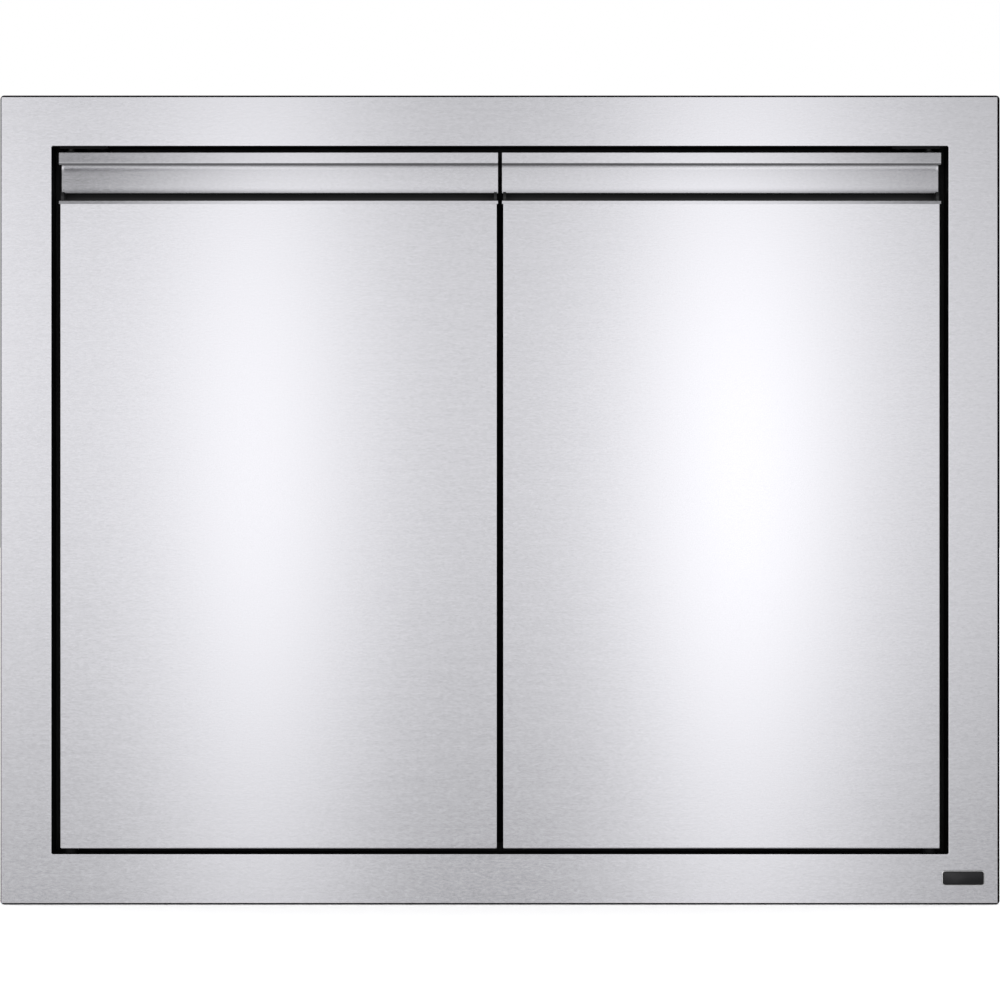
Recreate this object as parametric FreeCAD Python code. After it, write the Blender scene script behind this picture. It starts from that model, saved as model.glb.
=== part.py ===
import FreeCAD, Part

import math
import os

# Built-in double access door for an outdoor kitchen island.
# Millimetres, +X right, +Y into the island, +Z up.
# The origin is the centre of the opening, on the plane of the island's wall.

# Face frame
FRAME_WIDTH = 838.0
FRAME_HEIGHT = 678.5
BORDER_SIDE = 43.1
BORDER_RAIL = 42.5
FACE_PROUD = 9.5
FACE_SHEET = 1.2
FACE_CORNER_INNER = 2.2
FACE_BEND_INNER = 0.4
FACE_BACK_LIP = 8.0
OPENING_RETURN = 4.0
OPENING_CORNER_R = 0.8

# Collar: four mitred channels behind the face
COLLAR_SHEET = 1.5
COLLAR_DEPTH = 50.0
COLLAR_FLANGE = 20.0
COLLAR_REAR_LIP = 12.0
MOUNT_HOLE_R = 2.75
MOUNT_HOLE_FROM_REAR = 10.0
JAMB_HOLE_SPACING = 400.0
RAIL_HOLE_SPACING = 500.0

# Stops and gasket
STOP_SHEET = 1.2
STOP_BEHIND_DOOR = 4.5
STOP_PAST_GASKET = 1.5
STOP_LEG = 14.0
STOP_RIVET_SHARES = (-0.75, 0.0, 0.75)
STOP_RIVET_FROM_END = 5.6
GASKET_INSET = 24.0
GASKET_WIDTH = 6.0
GASKET_EDGE_R = 2.4
GASKET_GAP = 0.5

# Doors
GAP_SIDE = 6.35
GAP_TOP = 5.2
GAP_BOTTOM = 4.5
GAP_CENTRE = 3.5
DOOR_SHEET = 1.2
DOOR_THICK = 23.0
DOOR_BEND_INNER = 0.4
PAN_CORNER_R = 1.2
SKIN_INSET = 0.9
SKIN_SETBACK = 0.6
LINER_SHEET = 1.0
LINER_INSET = 0.1
LINER_FLANGE = 8.0
FLANGE_CLEAR = 0.05

# Top rail, recess and finger pocket
LIP_HEIGHT = 10.9
HEM_INNER = 0.8
HEM_TAIL = 0.4
RECESS_DEPTH = 13.0
RECESS_BOTTOM = 32.8
RECESS_BEND_INNER = 1.0
RECESS_LEG = 15.0
POCKET_WALL = 1.2
POCKET_BEND_INNER = 1.2
POCKET_PLUG = 1.2
POCKET_RIVET_GAP = 1.2
POCKET_DEPTH = 17.4
SLOT_HEIGHT = 7.8
CAP_SHEET = 0.6
CAP_FRONT = 2.8
CAP_BACK = 5.4
CAP_SEAT_GAP = 0.2
END_CAP_THICK = 7.0
END_CAP_WALL = 1.5
END_CAP_GAP = 0.1

# Hat-section stiffener
HAT_SHEET = 1.0
HAT_FLANGE = 12.0
HAT_CROWN = 18.0
HAT_SLOPE = 4.0
HAT_TOP_GAP = 4.0
HAT_BOTTOM_GAP = 9.0

# Pivots
PIN_FROM_EDGE = 9.0
PIN_FROM_FRONT = 8.0
PIN_R = 3.0
RUN_CLEAR = 0.05
PIVOT_PLATE = 3.0
PIVOT_PLATE_BACK = 13.0
PIVOT_PLATE_GAP = 0.2
PIVOT_PLATE_LENGTH = 40.0
PIVOT_PLATE_OVERHANG = 9.0
PIVOT_RIVET_BACK = 4.3
PIVOT_RIVET_FROM_PIN = 15.5
PIVOT_RIVET_SPACING = 9.9
PIN_CHAMFER = 0.6
PIN_HEAD_R = 5.0
PIN_HEAD = 2.0
BUSH_R = 4.2
BUSH_FLANGE_R = 6.0
BUSH_FLANGE = 1.0
SILL_BUSH_R = 4.2
SILL_BUSH_FLANGE_R = 6.0
SILL_BUSH_FLANGE = 2.0
THRUST_GAP = 0.1
BLOCK_LENGTH = 32.0
BLOCK_GAP = 0.1
BLOCK_CHAMFER = 0.5
HINGE_SCREW_SHARES = (0.28, 0.74)
PIN_TIP_GAP = 0.2

# Sprung release pin
BRACKET_SHEET = 2.0
BRACKET_HEIGHT = 50.0
BRACKET_WIDTH = 22.6
BRACKET_SIDE_GAP = 0.25
BRACKET_FRONT_GAP = 1.2
COLLAR_RING_R = 5.0
COLLAR_RING = 2.0
SPRING_R = 4.4
SPRING_WIRE = 1.0
SPRING_TURNS = 9
SPRING_END_PITCH = 1.6
SPRING_END_QUARTERS = 4
SPRING_SEAT_GAP = 0.1
PIN_OVERTRAVEL = 0.5
LEVER_SHEET = 2.0
LEVER_WIDTH = 9.0
LEVER_ARM_WIDTH = 12.0
LEVER_STOP_GAP = 4.0
LEVER_REACH = 9.0
LEVER_TAB = 7.0
LEVER_LIFT = 3.0
LEVER_SPIGOT_R = 2.2
LEVER_RIVET_HEAD = 1.2
SLOT_CLEAR = 1.0

# Magnetic catch
CATCH_END = 9.0
CATCH_WALL = 2.4
CATCH_EDGE_R = 0.8
CATCH_BELOW_STOP = 4.0
CATCH_BEHIND_STOP = 1.0
CATCH_LEAF_GAP = 1.5
CATCH_SHEET = 1.2
CATCH_BEND_INNER = 0.6
MAGNET_OFFSET = 18.0
MAGNET_WIDTH = 18.0
MAGNET_HEIGHT = 6.0
MAGNET_DEPTH = 11.0
POLE_SHEET = 1.6
POLE_PROUD = 0.4
STRIKE_GAP = 0.2
STRIKE_SHEET = 1.5
STRIKE_HEIGHT = 14.0
STRIKE_TAIL = 26.0
STRIKE_PAST_MAGNET = 1.0
STRIKE_CORNER_R = 1.5
CATCH_SCREW_R = 1.75
CATCH_SCREW_DEPTH = 8.0
CATCH_SCREW_HEAD_R = 3.5
CATCH_SCREW_HEAD = 2.2
CATCH_SCREW_EDGE_R = 0.9

# Fasteners and small parts
RIVET_R = 2.0
RIVET_HEAD_R = 3.75
RIVET_HEAD = 1.3
RIVET_TAIL_R = 2.8
RIVET_TAIL = 1.1
RIVET_MARGIN = 1.0
HAT_RIVET_SHARES = (0.08, 0.5, 0.92)
LEG_RIVET_SHARES = (0.12, 0.5, 0.75)
LEG_RIVET_DROP = 8.2
BRACKET_RIVET_SHARES = (0.24, 0.76)
HOLE_CLEAR = 0.05
SCREW_R = 2.0
SCREW_HEAD_R = 3.8
SCREW_HEAD = 2.0
SCREW_END_GAP = 0.4
SEAL_FRONT = 13.0
SEAL_DEPTH = 4.0
SEAL_GAP = 0.4
SEAL_END_GAP = 3.6
SEAL_EDGE_R = 0.9
BUMPER_R = 5.0
BUMPER_GAP = 0.3
BUMPER_EDGE_R = 1.2
BUMPER_INSET = 9.0
BUMPER_FROM_FREE_EDGE = 28.0
PLATE_WIDTH = 36.0
PLATE_HEIGHT = 13.0
PLATE_THICK = 1.2
PLATE_FROM_SIDE = 31.0
PLATE_FROM_FOOT = 22.6
PLATE_CORNER_R = 2.9
PLATE_EDGE_R = 0.5

# Cutting shapes run this far past a face, and points this near count as one
PAST = 1.0
NEAR = 1e-6

# Sizes and places worked out from those above
FACE_BEND_R = FACE_BEND_INNER + FACE_SHEET
FACE_CORNER_R = FACE_CORNER_INNER + FACE_SHEET
DOOR_BEND_R = DOOR_BEND_INNER + DOOR_SHEET
HEM_R = HEM_INNER + DOOR_SHEET
RECESS_BEND_R = RECESS_BEND_INNER + DOOR_SHEET
LINER_EDGE = SKIN_INSET + LINER_INSET
STOP_REACH = GASKET_INSET + GASKET_WIDTH + STOP_PAST_GASKET
CAP_TOP = RECESS_BOTTOM + SLOT_HEIGHT
POCKET_FLOOR = CAP_TOP + POCKET_DEPTH
OPEN_X = FRAME_WIDTH / 2.0 - BORDER_SIDE
OPEN_Z = FRAME_HEIGHT / 2.0 - BORDER_RAIL
WEB_X = OPEN_X + FACE_SHEET
WEB_Z = OPEN_Z + FACE_SHEET
FRONT_Y = -FACE_PROUD
FLANGE_Y = FRONT_Y + FACE_SHEET
DOOR_TOP = OPEN_Z - GAP_TOP
DOOR_BOTTOM = GAP_BOTTOM - OPEN_Z
DOOR_HEIGHT = DOOR_TOP - DOOR_BOTTOM
DOOR_EDGE_X = -(OPEN_X - GAP_SIDE)
DOOR_WIDTH = OPEN_X - GAP_SIDE - GAP_CENTRE / 2.0
DOOR_BACK_Y = FRONT_Y + DOOR_THICK
LINER_D = DOOR_THICK - LINER_SHEET
SKIN_D = SKIN_SETBACK
SKIN_BACK_D = SKIN_SETBACK + DOOR_SHEET
SKIN_TOP = CAP_TOP + CAP_SHEET + CAP_SEAT_GAP
POCKET_FRONT_D = SKIN_BACK_D + FLANGE_CLEAR
CAP_BACK_D = POCKET_FRONT_D + POCKET_WALL + CAP_SHEET
POCKET_BACK_D = LINER_D - DOOR_SHEET - RIVET_TAIL - POCKET_RIVET_GAP
FREE_U = DOOR_WIDTH - SKIN_INSET
PAN_INSIDE = SKIN_INSET + DOOR_SHEET + FLANGE_CLEAR
PIN_X = DOOR_EDGE_X + PIN_FROM_EDGE
PIN_Y = FRONT_Y + PIN_FROM_FRONT
SILL_TOP = -WEB_Z
HEAD_BOTTOM = WEB_Z
RETURN_BACK_Y = FRONT_Y + OPENING_RETURN
FLANGE_BACK_Y = FLANGE_Y + COLLAR_SHEET
MOUNT_HOLE_Y = COLLAR_DEPTH - MOUNT_HOLE_FROM_REAR
HEAD_PLATE_Z = HEAD_BOTTOM - PIVOT_PLATE
BLOCK_HEIGHT = LIP_HEIGHT - HEM_R - HEM_TAIL - DOOR_SHEET - BLOCK_GAP
BLOCK_BOTTOM_Z = DOOR_TOP - DOOR_SHEET - BLOCK_HEIGHT
SILL_PLATE_Z = SILL_TOP - COLLAR_SHEET - PIVOT_PLATE
BRACKET_BOTTOM_Z = DOOR_BOTTOM + DOOR_SHEET
BRACKET_TOP_Z = BRACKET_BOTTOM_Z + BRACKET_HEIGHT
RING_BOTTOM_Z = BRACKET_BOTTOM_Z + BRACKET_SHEET + SPRING_SEAT_GAP
SPRING_BOTTOM_Z = RING_BOTTOM_Z + COLLAR_RING + SPRING_SEAT_GAP
SPRING_TOP_Z = BRACKET_TOP_Z - BRACKET_SHEET - SPRING_SEAT_GAP
PIN_TRAVEL = SILL_BUSH_FLANGE + COLLAR_SHEET + PIVOT_PLATE + PIN_OVERTRAVEL
LEVER_Z = BRACKET_TOP_Z + LEVER_LIFT
LEVER_ARM_START = STOP_REACH - FACE_SHEET - GAP_SIDE + LEVER_STOP_GAP
STOP_FRONT_Y = DOOR_BACK_Y + STOP_BEHIND_DOOR
CATCH_HALF_WIDTH = MAGNET_OFFSET + MAGNET_WIDTH / 2.0 + CATCH_END
CATCH_HEIGHT = MAGNET_HEIGHT + 2.0 * (POLE_SHEET + CATCH_WALL)
CATCH_TOP_Z = HEAD_BOTTOM - STOP_REACH - CATCH_BELOW_STOP
CATCH_MID_Z = CATCH_TOP_Z - CATCH_HEIGHT / 2.0
CATCH_BACK_Y = STOP_FRONT_Y + STOP_LEG + CATCH_BEHIND_STOP
CATCH_LEAF_END_Y = COLLAR_DEPTH - COLLAR_SHEET - CATCH_LEAF_GAP
STRIKE_INNER_X = -(MAGNET_OFFSET - MAGNET_WIDTH / 2.0 - STRIKE_PAST_MAGNET)
STRIKE_OUTER_X = -(CATCH_HALF_WIDTH + STRIKE_TAIL)
STRIKE_BACK_Y = DOOR_BACK_Y + STRIKE_SHEET
POLE_FRONT_Y = STRIKE_BACK_Y + STRIKE_GAP
PLATE_CENTRE_X = FRAME_WIDTH / 2.0 - PLATE_FROM_SIDE
PLATE_CENTRE_Z = PLATE_FROM_FOOT - FRAME_HEIGHT / 2.0


def vec(x, y, z):
    """A point or direction."""
    return FreeCAD.Vector(x, y, z)


def block(x0, x1, y0, y1, z0, z1):
    """A box between two corners."""
    return Part.makeBox(x1 - x0, y1 - y0, z1 - z0, vec(x0, y0, z0))


def rod(radius, start, end):
    """A round bar from one point to another."""
    line = end - start
    return Part.makeCylinder(radius, line.Length, start, line)


def fuse(shapes):
    """Join shapes into one clean solid."""
    joined = shapes[0]
    for other in shapes[1:]:
        joined = joined.fuse(other)
    return joined.removeSplitter()


def cut(shape, tools):
    """Take each tool away from the shape."""
    for tool in tools:
        shape = shape.cut(tool)
    return shape


def edges_where(shape, test):
    """Edges whose two ends both pass a test."""
    found = []
    for edge in shape.Edges:
        if len(edge.Vertexes) == 2 and all(test(v.Point) for v in edge.Vertexes):
            found.append(edge)
    return found


def circles_at(shape, z):
    """Round edges that lie at one height."""
    return [e for e in shape.Edges
            if isinstance(e.Curve, Part.Circle) and abs(e.Curve.Center.z - z) < NEAR]


def upright_block(x0, x1, y0, y1, z0, z1, corner_r):
    """A box with its four edges along Y rounded."""
    body = block(x0, x1, y0, y1, z0, z1)
    along_y = []
    for edge in body.Edges:
        first, last = edge.Vertexes[0].Point, edge.Vertexes[1].Point
        if abs(first.y - last.y) > abs(y1 - y0) / 2.0:
            along_y.append(edge)
    return body.makeFillet(corner_r, along_y)


def ring(outer_x, outer_z, inner_x, inner_z, y0, y1):
    """A rectangular ring about the Y axis."""
    outer = block(-outer_x, outer_x, y0, y1, -outer_z, outer_z)
    inner = block(-inner_x, inner_x, y0, y1, -inner_z, inner_z)
    return outer.cut(inner)


def corner_points(points, radii):
    """Tangent points and arc middles for a polyline with rounded corners."""
    parts = []
    last = len(points) - 1
    start = points[0]
    for i in range(1, last):
        before = (points[i - 1] - points[i]).normalize()
        after = (points[i + 1] - points[i]).normalize()
        radius = radii[i - 1]
        half = before.getAngle(after) / 2.0
        reach = radius / math.tan(half)
        enter = points[i] + before * reach
        leave = points[i] + after * reach
        inward = (before + after).normalize()
        middle = points[i] + inward * (radius / math.sin(half) - radius)
        parts.append(("line", start, enter))
        parts.append(("arc", enter, middle, leave))
        start = leave
    parts.append(("line", start, points[last]))
    return parts


def path_edges(parts):
    """Edges of the parts that have a length."""
    edges = []
    for part in parts:
        if part[0] == "arc":
            edges.append(Part.Arc(part[1], part[2], part[3]).toShape())
        elif part[1].distanceToPoint(part[2]) > NEAR:
            edges.append(Part.LineSegment(part[1], part[2]).toShape())
    return edges


def bent_sheet(points, inner_radii, thick, place, run):
    """A folded sheet: its section follows points, with the sheet on their left.

    points are pairs in the section's plane, place turns a pair into a 3-D point, and
    run is the vector along which the section is drawn out.
    """
    near = [vec(a, b, 0.0) for a, b in points]
    normals = []
    for first, second in zip(near, near[1:]):
        way = (second - first).normalize()
        normals.append(vec(-way.y, way.x, 0.0))
    far = [near[0] + normals[0] * thick]
    near_radii = []
    far_radii = []
    for i in range(1, len(near) - 1):
        bisector = normals[i - 1] + normals[i]
        far.append(near[i] + bisector * (2.0 * thick / bisector.dot(bisector)))
        turn = normals[i - 1].cross(normals[i]).z
        radius = inner_radii[i - 1]
        near_radii.append(radius + thick if turn > 0 else radius)
        far_radii.append(radius if turn > 0 else radius + thick)
    far.append(near[-1] + normals[-1] * thick)
    near_3d = [place(p.x, p.y) for p in near]
    far_3d = [place(p.x, p.y) for p in far]
    edges = path_edges(corner_points(near_3d, near_radii))
    edges.append(Part.LineSegment(near_3d[-1], far_3d[-1]).toShape())
    edges += path_edges(corner_points(far_3d[::-1], far_radii[::-1]))
    edges.append(Part.LineSegment(far_3d[0], near_3d[0]).toShape())
    wire = Part.Wire(Part.__sortEdges__(edges))
    return Part.Face(wire).extrude(run)


def depth_point(u):
    """Section plane across a door: pairs are depth from the front and minus height."""
    return lambda d, minus_h: vec(DOOR_EDGE_X + u, FRONT_Y + d, DOOR_TOP + minus_h)


def door_block(u0, u1, d0, d1, h0, h1):
    """A box in the left door's own measures: from the hinge edge, front and top."""
    return block(DOOR_EDGE_X + u0, DOOR_EDGE_X + u1, FRONT_Y + d0, FRONT_Y + d1,
                 DOOR_TOP - h1, DOOR_TOP - h0)


def mitre_wedge(side):
    """The part of the collar's ring that one side keeps, cut at 45 degrees."""
    reach = COLLAR_FLANGE + STOP_REACH
    outer_x, outer_z = WEB_X + reach, WEB_Z + reach
    inner_x, inner_z = WEB_X - reach, WEB_Z - reach
    corners = {
        "left": [(-outer_x, outer_z), (-inner_x, inner_z), (-inner_x, -inner_z), (-outer_x, -outer_z)],
        "right": [(outer_x, outer_z), (inner_x, inner_z), (inner_x, -inner_z), (outer_x, -outer_z)],
        "head": [(-outer_x, outer_z), (-inner_x, inner_z), (inner_x, inner_z), (outer_x, outer_z)],
        "sill": [(-outer_x, -outer_z), (-inner_x, -inner_z), (inner_x, -inner_z), (outer_x, -outer_z)],
    }[side]
    points = [vec(x, FRONT_Y, z) for x, z in corners]
    outline = Part.makePolygon(points + points[:1])
    return Part.Face(outline).extrude(vec(0, FACE_PROUD + COLLAR_DEPTH, 0))


def mirrored(shape):
    """The same piece on the right-hand door."""
    return shape.mirror(vec(0, 0, 0), vec(1, 0, 0))


def rivet(seat, away, grip):
    """A blind rivet: domed head at the seat, tail past the grip, along minus away."""
    into = away * -1.0
    ball_r = (RIVET_HEAD_R ** 2 + RIVET_HEAD ** 2) / (2.0 * RIVET_HEAD)
    ball = Part.makeSphere(ball_r, seat + away * (RIVET_HEAD - ball_r))
    dome = ball.common(rod(RIVET_HEAD_R, seat, seat + away * RIVET_HEAD))
    shank = rod(RIVET_R, seat, seat + into * (grip + RIVET_TAIL))
    tail = rod(RIVET_TAIL_R, seat + into * grip, seat + into * (grip + RIVET_TAIL))
    return fuse([dome, shank, tail])


def rivet_hole(seat, away, grip):
    """The hole that a rivet's shank passes through."""
    return rod(RIVET_R + HOLE_CLEAR, seat + away, seat - away * (grip + PAST))


def face_frame():
    """The stamped face: front sheet, bent outer edge with a back lip, short inner return."""
    half_x, half_z = FRAME_WIDTH / 2.0, FRAME_HEIGHT / 2.0
    body = upright_block(-half_x, half_x, FRONT_Y, 0.0, -half_z, half_z, FACE_CORNER_R)
    front_rim = edges_where(body, lambda p: abs(p.y - FRONT_Y) < NEAR)
    body = body.makeFillet(FACE_BEND_R, front_rim)
    opening = upright_block(-OPEN_X, OPEN_X, FRONT_Y, 0.0, -OPEN_Z, OPEN_Z, OPENING_CORNER_R)
    hollow_x, hollow_z = half_x - FACE_SHEET, half_z - FACE_SHEET
    hollow = upright_block(-hollow_x, hollow_x, FLANGE_Y, -FACE_SHEET, -hollow_z, hollow_z,
                           FACE_CORNER_INNER)
    hollow_rim = edges_where(hollow, lambda p: abs(p.y - FLANGE_Y) < NEAR)
    hollow = hollow.makeFillet(FACE_BEND_INNER, hollow_rim)
    inner_return = upright_block(-WEB_X, WEB_X, FLANGE_Y, FRONT_Y + OPENING_RETURN, -WEB_Z, WEB_Z,
                                 OPENING_CORNER_R + FACE_SHEET)
    window_x, window_z = half_x - FACE_BACK_LIP, half_z - FACE_BACK_LIP
    window = block(-window_x, window_x, -FACE_SHEET, 0.0, -window_z, window_z)
    body = cut(body, [opening, hollow.cut(inner_return), window])

    def at_opening(point):
        inside = abs(point.x) < OPEN_X + NEAR and abs(point.z) < OPEN_Z + NEAR
        return inside and abs(point.y - FRONT_Y) < NEAR

    return body.makeFillet(FACE_BEND_R, edges_where(body, at_opening))


def stop_rivet_seats():
    """Seat, outward direction and grip of each rivet that holds a stop."""
    seats = []
    rivet_y = STOP_FRONT_Y + STOP_LEG - STOP_RIVET_FROM_END
    grip = STOP_SHEET + COLLAR_SHEET
    for share in STOP_RIVET_SHARES:
        z = share * OPEN_Z
        x = share * OPEN_X
        seats.append((vec(-WEB_X + STOP_SHEET, rivet_y, z), vec(1, 0, 0), grip))
        seats.append((vec(WEB_X - STOP_SHEET, rivet_y, z), vec(-1, 0, 0), grip))
        seats.append((vec(x, rivet_y, WEB_Z - STOP_SHEET), vec(0, 0, -1), grip))
        seats.append((vec(x, rivet_y, -WEB_Z + STOP_SHEET), vec(0, 0, 1), grip))
    return seats


def bracket_rivet_seats():
    """Rivets of the catch bracket's upper leaf."""
    y = (CATCH_BACK_Y + CATCH_SHEET + CATCH_LEAF_END_Y) / 2.0
    z = HEAD_BOTTOM - CATCH_SHEET
    return [(vec(x, y, z), vec(0, 0, -1), CATCH_SHEET + COLLAR_SHEET)
            for x in (-MAGNET_OFFSET, MAGNET_OFFSET)]


def pivot_rivet_seats():
    """Rivets of the four pivot plates: heads inside the collar."""
    seats = []
    grip = PIVOT_PLATE + COLLAR_SHEET
    y = PIN_Y + PIVOT_RIVET_BACK
    for from_pin in (PIVOT_RIVET_FROM_PIN, PIVOT_RIVET_FROM_PIN + PIVOT_RIVET_SPACING):
        for side in (1.0, -1.0):
            x = side * (PIN_X + from_pin)
            seats.append((vec(x, y, HEAD_PLATE_Z), vec(0, 0, -1), grip))
            seats.append((vec(x, y, SILL_TOP), vec(0, 0, 1), grip))
    return seats


def frame_rivet_seats():
    """Every rivet of the fixed frame."""
    return stop_rivet_seats() + bracket_rivet_seats() + pivot_rivet_seats()


def frame_rivet_holes():
    """The holes of every rivet of the fixed frame."""
    return [rivet_hole(seat, away, grip) for seat, away, grip in frame_rivet_seats()]


def collar_ring():
    """Web, front flange and rear lip of all four channels together."""
    back = COLLAR_DEPTH
    web = ring(WEB_X + COLLAR_SHEET, WEB_Z + COLLAR_SHEET, WEB_X, WEB_Z, FLANGE_Y, back)
    flange = ring(WEB_X + COLLAR_FLANGE, WEB_Z + COLLAR_FLANGE, WEB_X, WEB_Z,
                  FLANGE_Y, FLANGE_Y + COLLAR_SHEET)
    lip = ring(WEB_X + COLLAR_SHEET, WEB_Z + COLLAR_SHEET, WEB_X - COLLAR_REAR_LIP,
               WEB_Z - COLLAR_REAR_LIP, back - COLLAR_SHEET, back)
    return fuse([web, flange, lip])


def mount_holes():
    """Holes for the screws that fix the collar to the island."""
    holes = []
    reach = COLLAR_SHEET + PAST
    for side in (-1.0, 1.0):
        for end in (-0.5, 0.5):
            z = end * JAMB_HOLE_SPACING
            x = end * RAIL_HOLE_SPACING
            holes.append(rod(MOUNT_HOLE_R, vec(side * (WEB_X - reach), MOUNT_HOLE_Y, z),
                             vec(side * (WEB_X + reach), MOUNT_HOLE_Y, z)))
            holes.append(rod(MOUNT_HOLE_R, vec(x, MOUNT_HOLE_Y, side * (WEB_Z - reach)),
                             vec(x, MOUNT_HOLE_Y, side * (WEB_Z + reach))))
    return holes


def collar_pieces():
    """Left and right jambs, head and sill channels."""
    whole = collar_ring()
    holes = mount_holes() + frame_rivet_holes()
    for side in (-1.0, 1.0):
        x = side * PIN_X
        holes.append(rod(PIN_R + HOLE_CLEAR, vec(x, PIN_Y, HEAD_BOTTOM - PAST),
                         vec(x, PIN_Y, HEAD_BOTTOM + COLLAR_SHEET + PAST)))
        holes.append(rod(SILL_BUSH_R + HOLE_CLEAR, vec(x, PIN_Y, SILL_TOP + PAST),
                         vec(x, PIN_Y, SILL_TOP - COLLAR_SHEET - PAST)))
    names = {"left": "jamb_left", "right": "jamb_right", "head": "head_channel", "sill": "sill_channel"}
    whole = cut(whole, holes)
    return {name: whole.common(mitre_wedge(side)) for side, name in names.items()}


def stop_pieces():
    """Four mitred angles that the doors close on."""
    leg_end = STOP_FRONT_Y + STOP_LEG
    face = ring(WEB_X, WEB_Z, WEB_X - STOP_REACH, WEB_Z - STOP_REACH,
                STOP_FRONT_Y, STOP_FRONT_Y + STOP_SHEET)
    leg = ring(WEB_X, WEB_Z, WEB_X - STOP_SHEET, WEB_Z - STOP_SHEET, STOP_FRONT_Y, leg_end)
    whole = cut(fuse([face, leg]), frame_rivet_holes())
    names = {"left": "stop_left", "right": "stop_right", "head": "stop_head", "sill": "stop_sill"}
    return {name: whole.common(mitre_wedge(side)) for side, name in names.items()}


def door_gasket():
    """One soft ring on the stops, rounded towards the doors."""
    front = DOOR_BACK_Y + GASKET_GAP
    far = GASKET_INSET + GASKET_WIDTH
    body = ring(WEB_X - GASKET_INSET, WEB_Z - GASKET_INSET, WEB_X - far, WEB_Z - far,
                front, STOP_FRONT_Y)
    rim = edges_where(body, lambda p: abs(p.y - front) < NEAR)
    return body.makeFillet(GASKET_EDGE_R, rim)


def pivot_plate(bottom, front_y, hole_r):
    """A plate that backs the thin web at a pivot."""
    start = PIN_X - PIVOT_PLATE_OVERHANG
    body = block(start, start + PIVOT_PLATE_LENGTH, front_y, PIN_Y + PIVOT_PLATE_BACK,
                 bottom, bottom + PIVOT_PLATE)
    hole = rod(hole_r, vec(PIN_X, PIN_Y, bottom - PAST), vec(PIN_X, PIN_Y, bottom + PIVOT_PLATE + PAST))
    return cut(body, [hole] + frame_rivet_holes())


def upper_pivot_pin():
    """Headed pin, fixed in the head, that the door's upper bushing turns on."""
    top = HEAD_BOTTOM + COLLAR_SHEET
    tip = BLOCK_BOTTOM_Z + PIN_TIP_GAP
    shank = rod(PIN_R, vec(PIN_X, PIN_Y, tip), vec(PIN_X, PIN_Y, top))
    shank = shank.makeChamfer(PIN_CHAMFER, circles_at(shank, tip))
    head = rod(PIN_HEAD_R, vec(PIN_X, PIN_Y, top), vec(PIN_X, PIN_Y, top + PIN_HEAD))
    return fuse([shank, head])


def lower_pivot_bushing():
    """Bushing in the sill for the release pin, its flange cut flat behind the face's return."""
    top = SILL_TOP + SILL_BUSH_FLANGE
    flange = rod(SILL_BUSH_FLANGE_R, vec(PIN_X, PIN_Y, SILL_TOP), vec(PIN_X, PIN_Y, top))
    body = rod(SILL_BUSH_R, vec(PIN_X, PIN_Y, SILL_PLATE_Z), vec(PIN_X, PIN_Y, SILL_TOP))
    bore = rod(PIN_R + RUN_CLEAR, vec(PIN_X, PIN_Y, SILL_PLATE_Z - PAST), vec(PIN_X, PIN_Y, top + PAST))
    beyond_flat = block(PIN_X - SILL_BUSH_FLANGE_R, PIN_X + SILL_BUSH_FLANGE_R,
                        PIN_Y - 2.0 * SILL_BUSH_FLANGE_R, RETURN_BACK_Y + PIVOT_PLATE_GAP, SILL_TOP, top)
    return cut(fuse([flange.cut(beyond_flat), body]), [bore])


def magnet_box(side, grow):
    """The space that one magnet and its two pole plates fill."""
    half = MAGNET_WIDTH / 2.0 + grow
    tall = MAGNET_HEIGHT / 2.0 + POLE_SHEET + grow
    mid_x = side * MAGNET_OFFSET
    return block(mid_x - half, mid_x + half, POLE_FRONT_Y, POLE_FRONT_Y + MAGNET_DEPTH + POLE_PROUD + grow,
                 CATCH_MID_Z - tall, CATCH_MID_Z + tall)


def catch_screw_seats():
    """Where the two screw heads of the catch lie."""
    offset = CATCH_HALF_WIDTH - CATCH_END / 2.0
    back = CATCH_BACK_Y + CATCH_SHEET
    return [vec(side * offset, back, CATCH_MID_Z) for side in (-1.0, 1.0)]


def catch_housing():
    """Moulded body of the double magnetic catch."""
    body = block(-CATCH_HALF_WIDTH, CATCH_HALF_WIDTH, POLE_FRONT_Y + POLE_PROUD, CATCH_BACK_Y,
                 CATCH_TOP_Z - CATCH_HEIGHT, CATCH_TOP_Z)
    front = edges_where(body, lambda p: p.y < POLE_FRONT_Y + POLE_PROUD + NEAR)
    body = body.makeFillet(CATCH_EDGE_R, front)
    tools = [magnet_box(side, HOLE_CLEAR) for side in (-1.0, 1.0)]
    for seat in catch_screw_seats():
        tools.append(rod(CATCH_SCREW_R + HOLE_CLEAR, seat, seat - vec(0, CATCH_SCREW_DEPTH + CATCH_SHEET, 0)))
    return cut(body, tools)


def catch_magnets():
    """Two magnet blocks between their pole plates."""
    half = MAGNET_WIDTH / 2.0
    tall = MAGNET_HEIGHT / 2.0
    start = POLE_FRONT_Y + POLE_PROUD
    return [block(side * MAGNET_OFFSET - half, side * MAGNET_OFFSET + half, start, start + MAGNET_DEPTH,
                  CATCH_MID_Z - tall, CATCH_MID_Z + tall) for side in (-1.0, 1.0)]


def catch_pole_plates():
    """Four steel plates that stand a little proud of the housing."""
    half = MAGNET_WIDTH / 2.0
    tall = MAGNET_HEIGHT / 2.0
    end = POLE_FRONT_Y + POLE_PROUD + MAGNET_DEPTH
    plates = []
    for side in (-1.0, 1.0):
        x0, x1 = side * MAGNET_OFFSET - half, side * MAGNET_OFFSET + half
        for z in (CATCH_MID_Z + tall, CATCH_MID_Z - tall - POLE_SHEET):
            plates.append(block(x0, x1, POLE_FRONT_Y, end, z, z + POLE_SHEET))
    return plates


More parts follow.
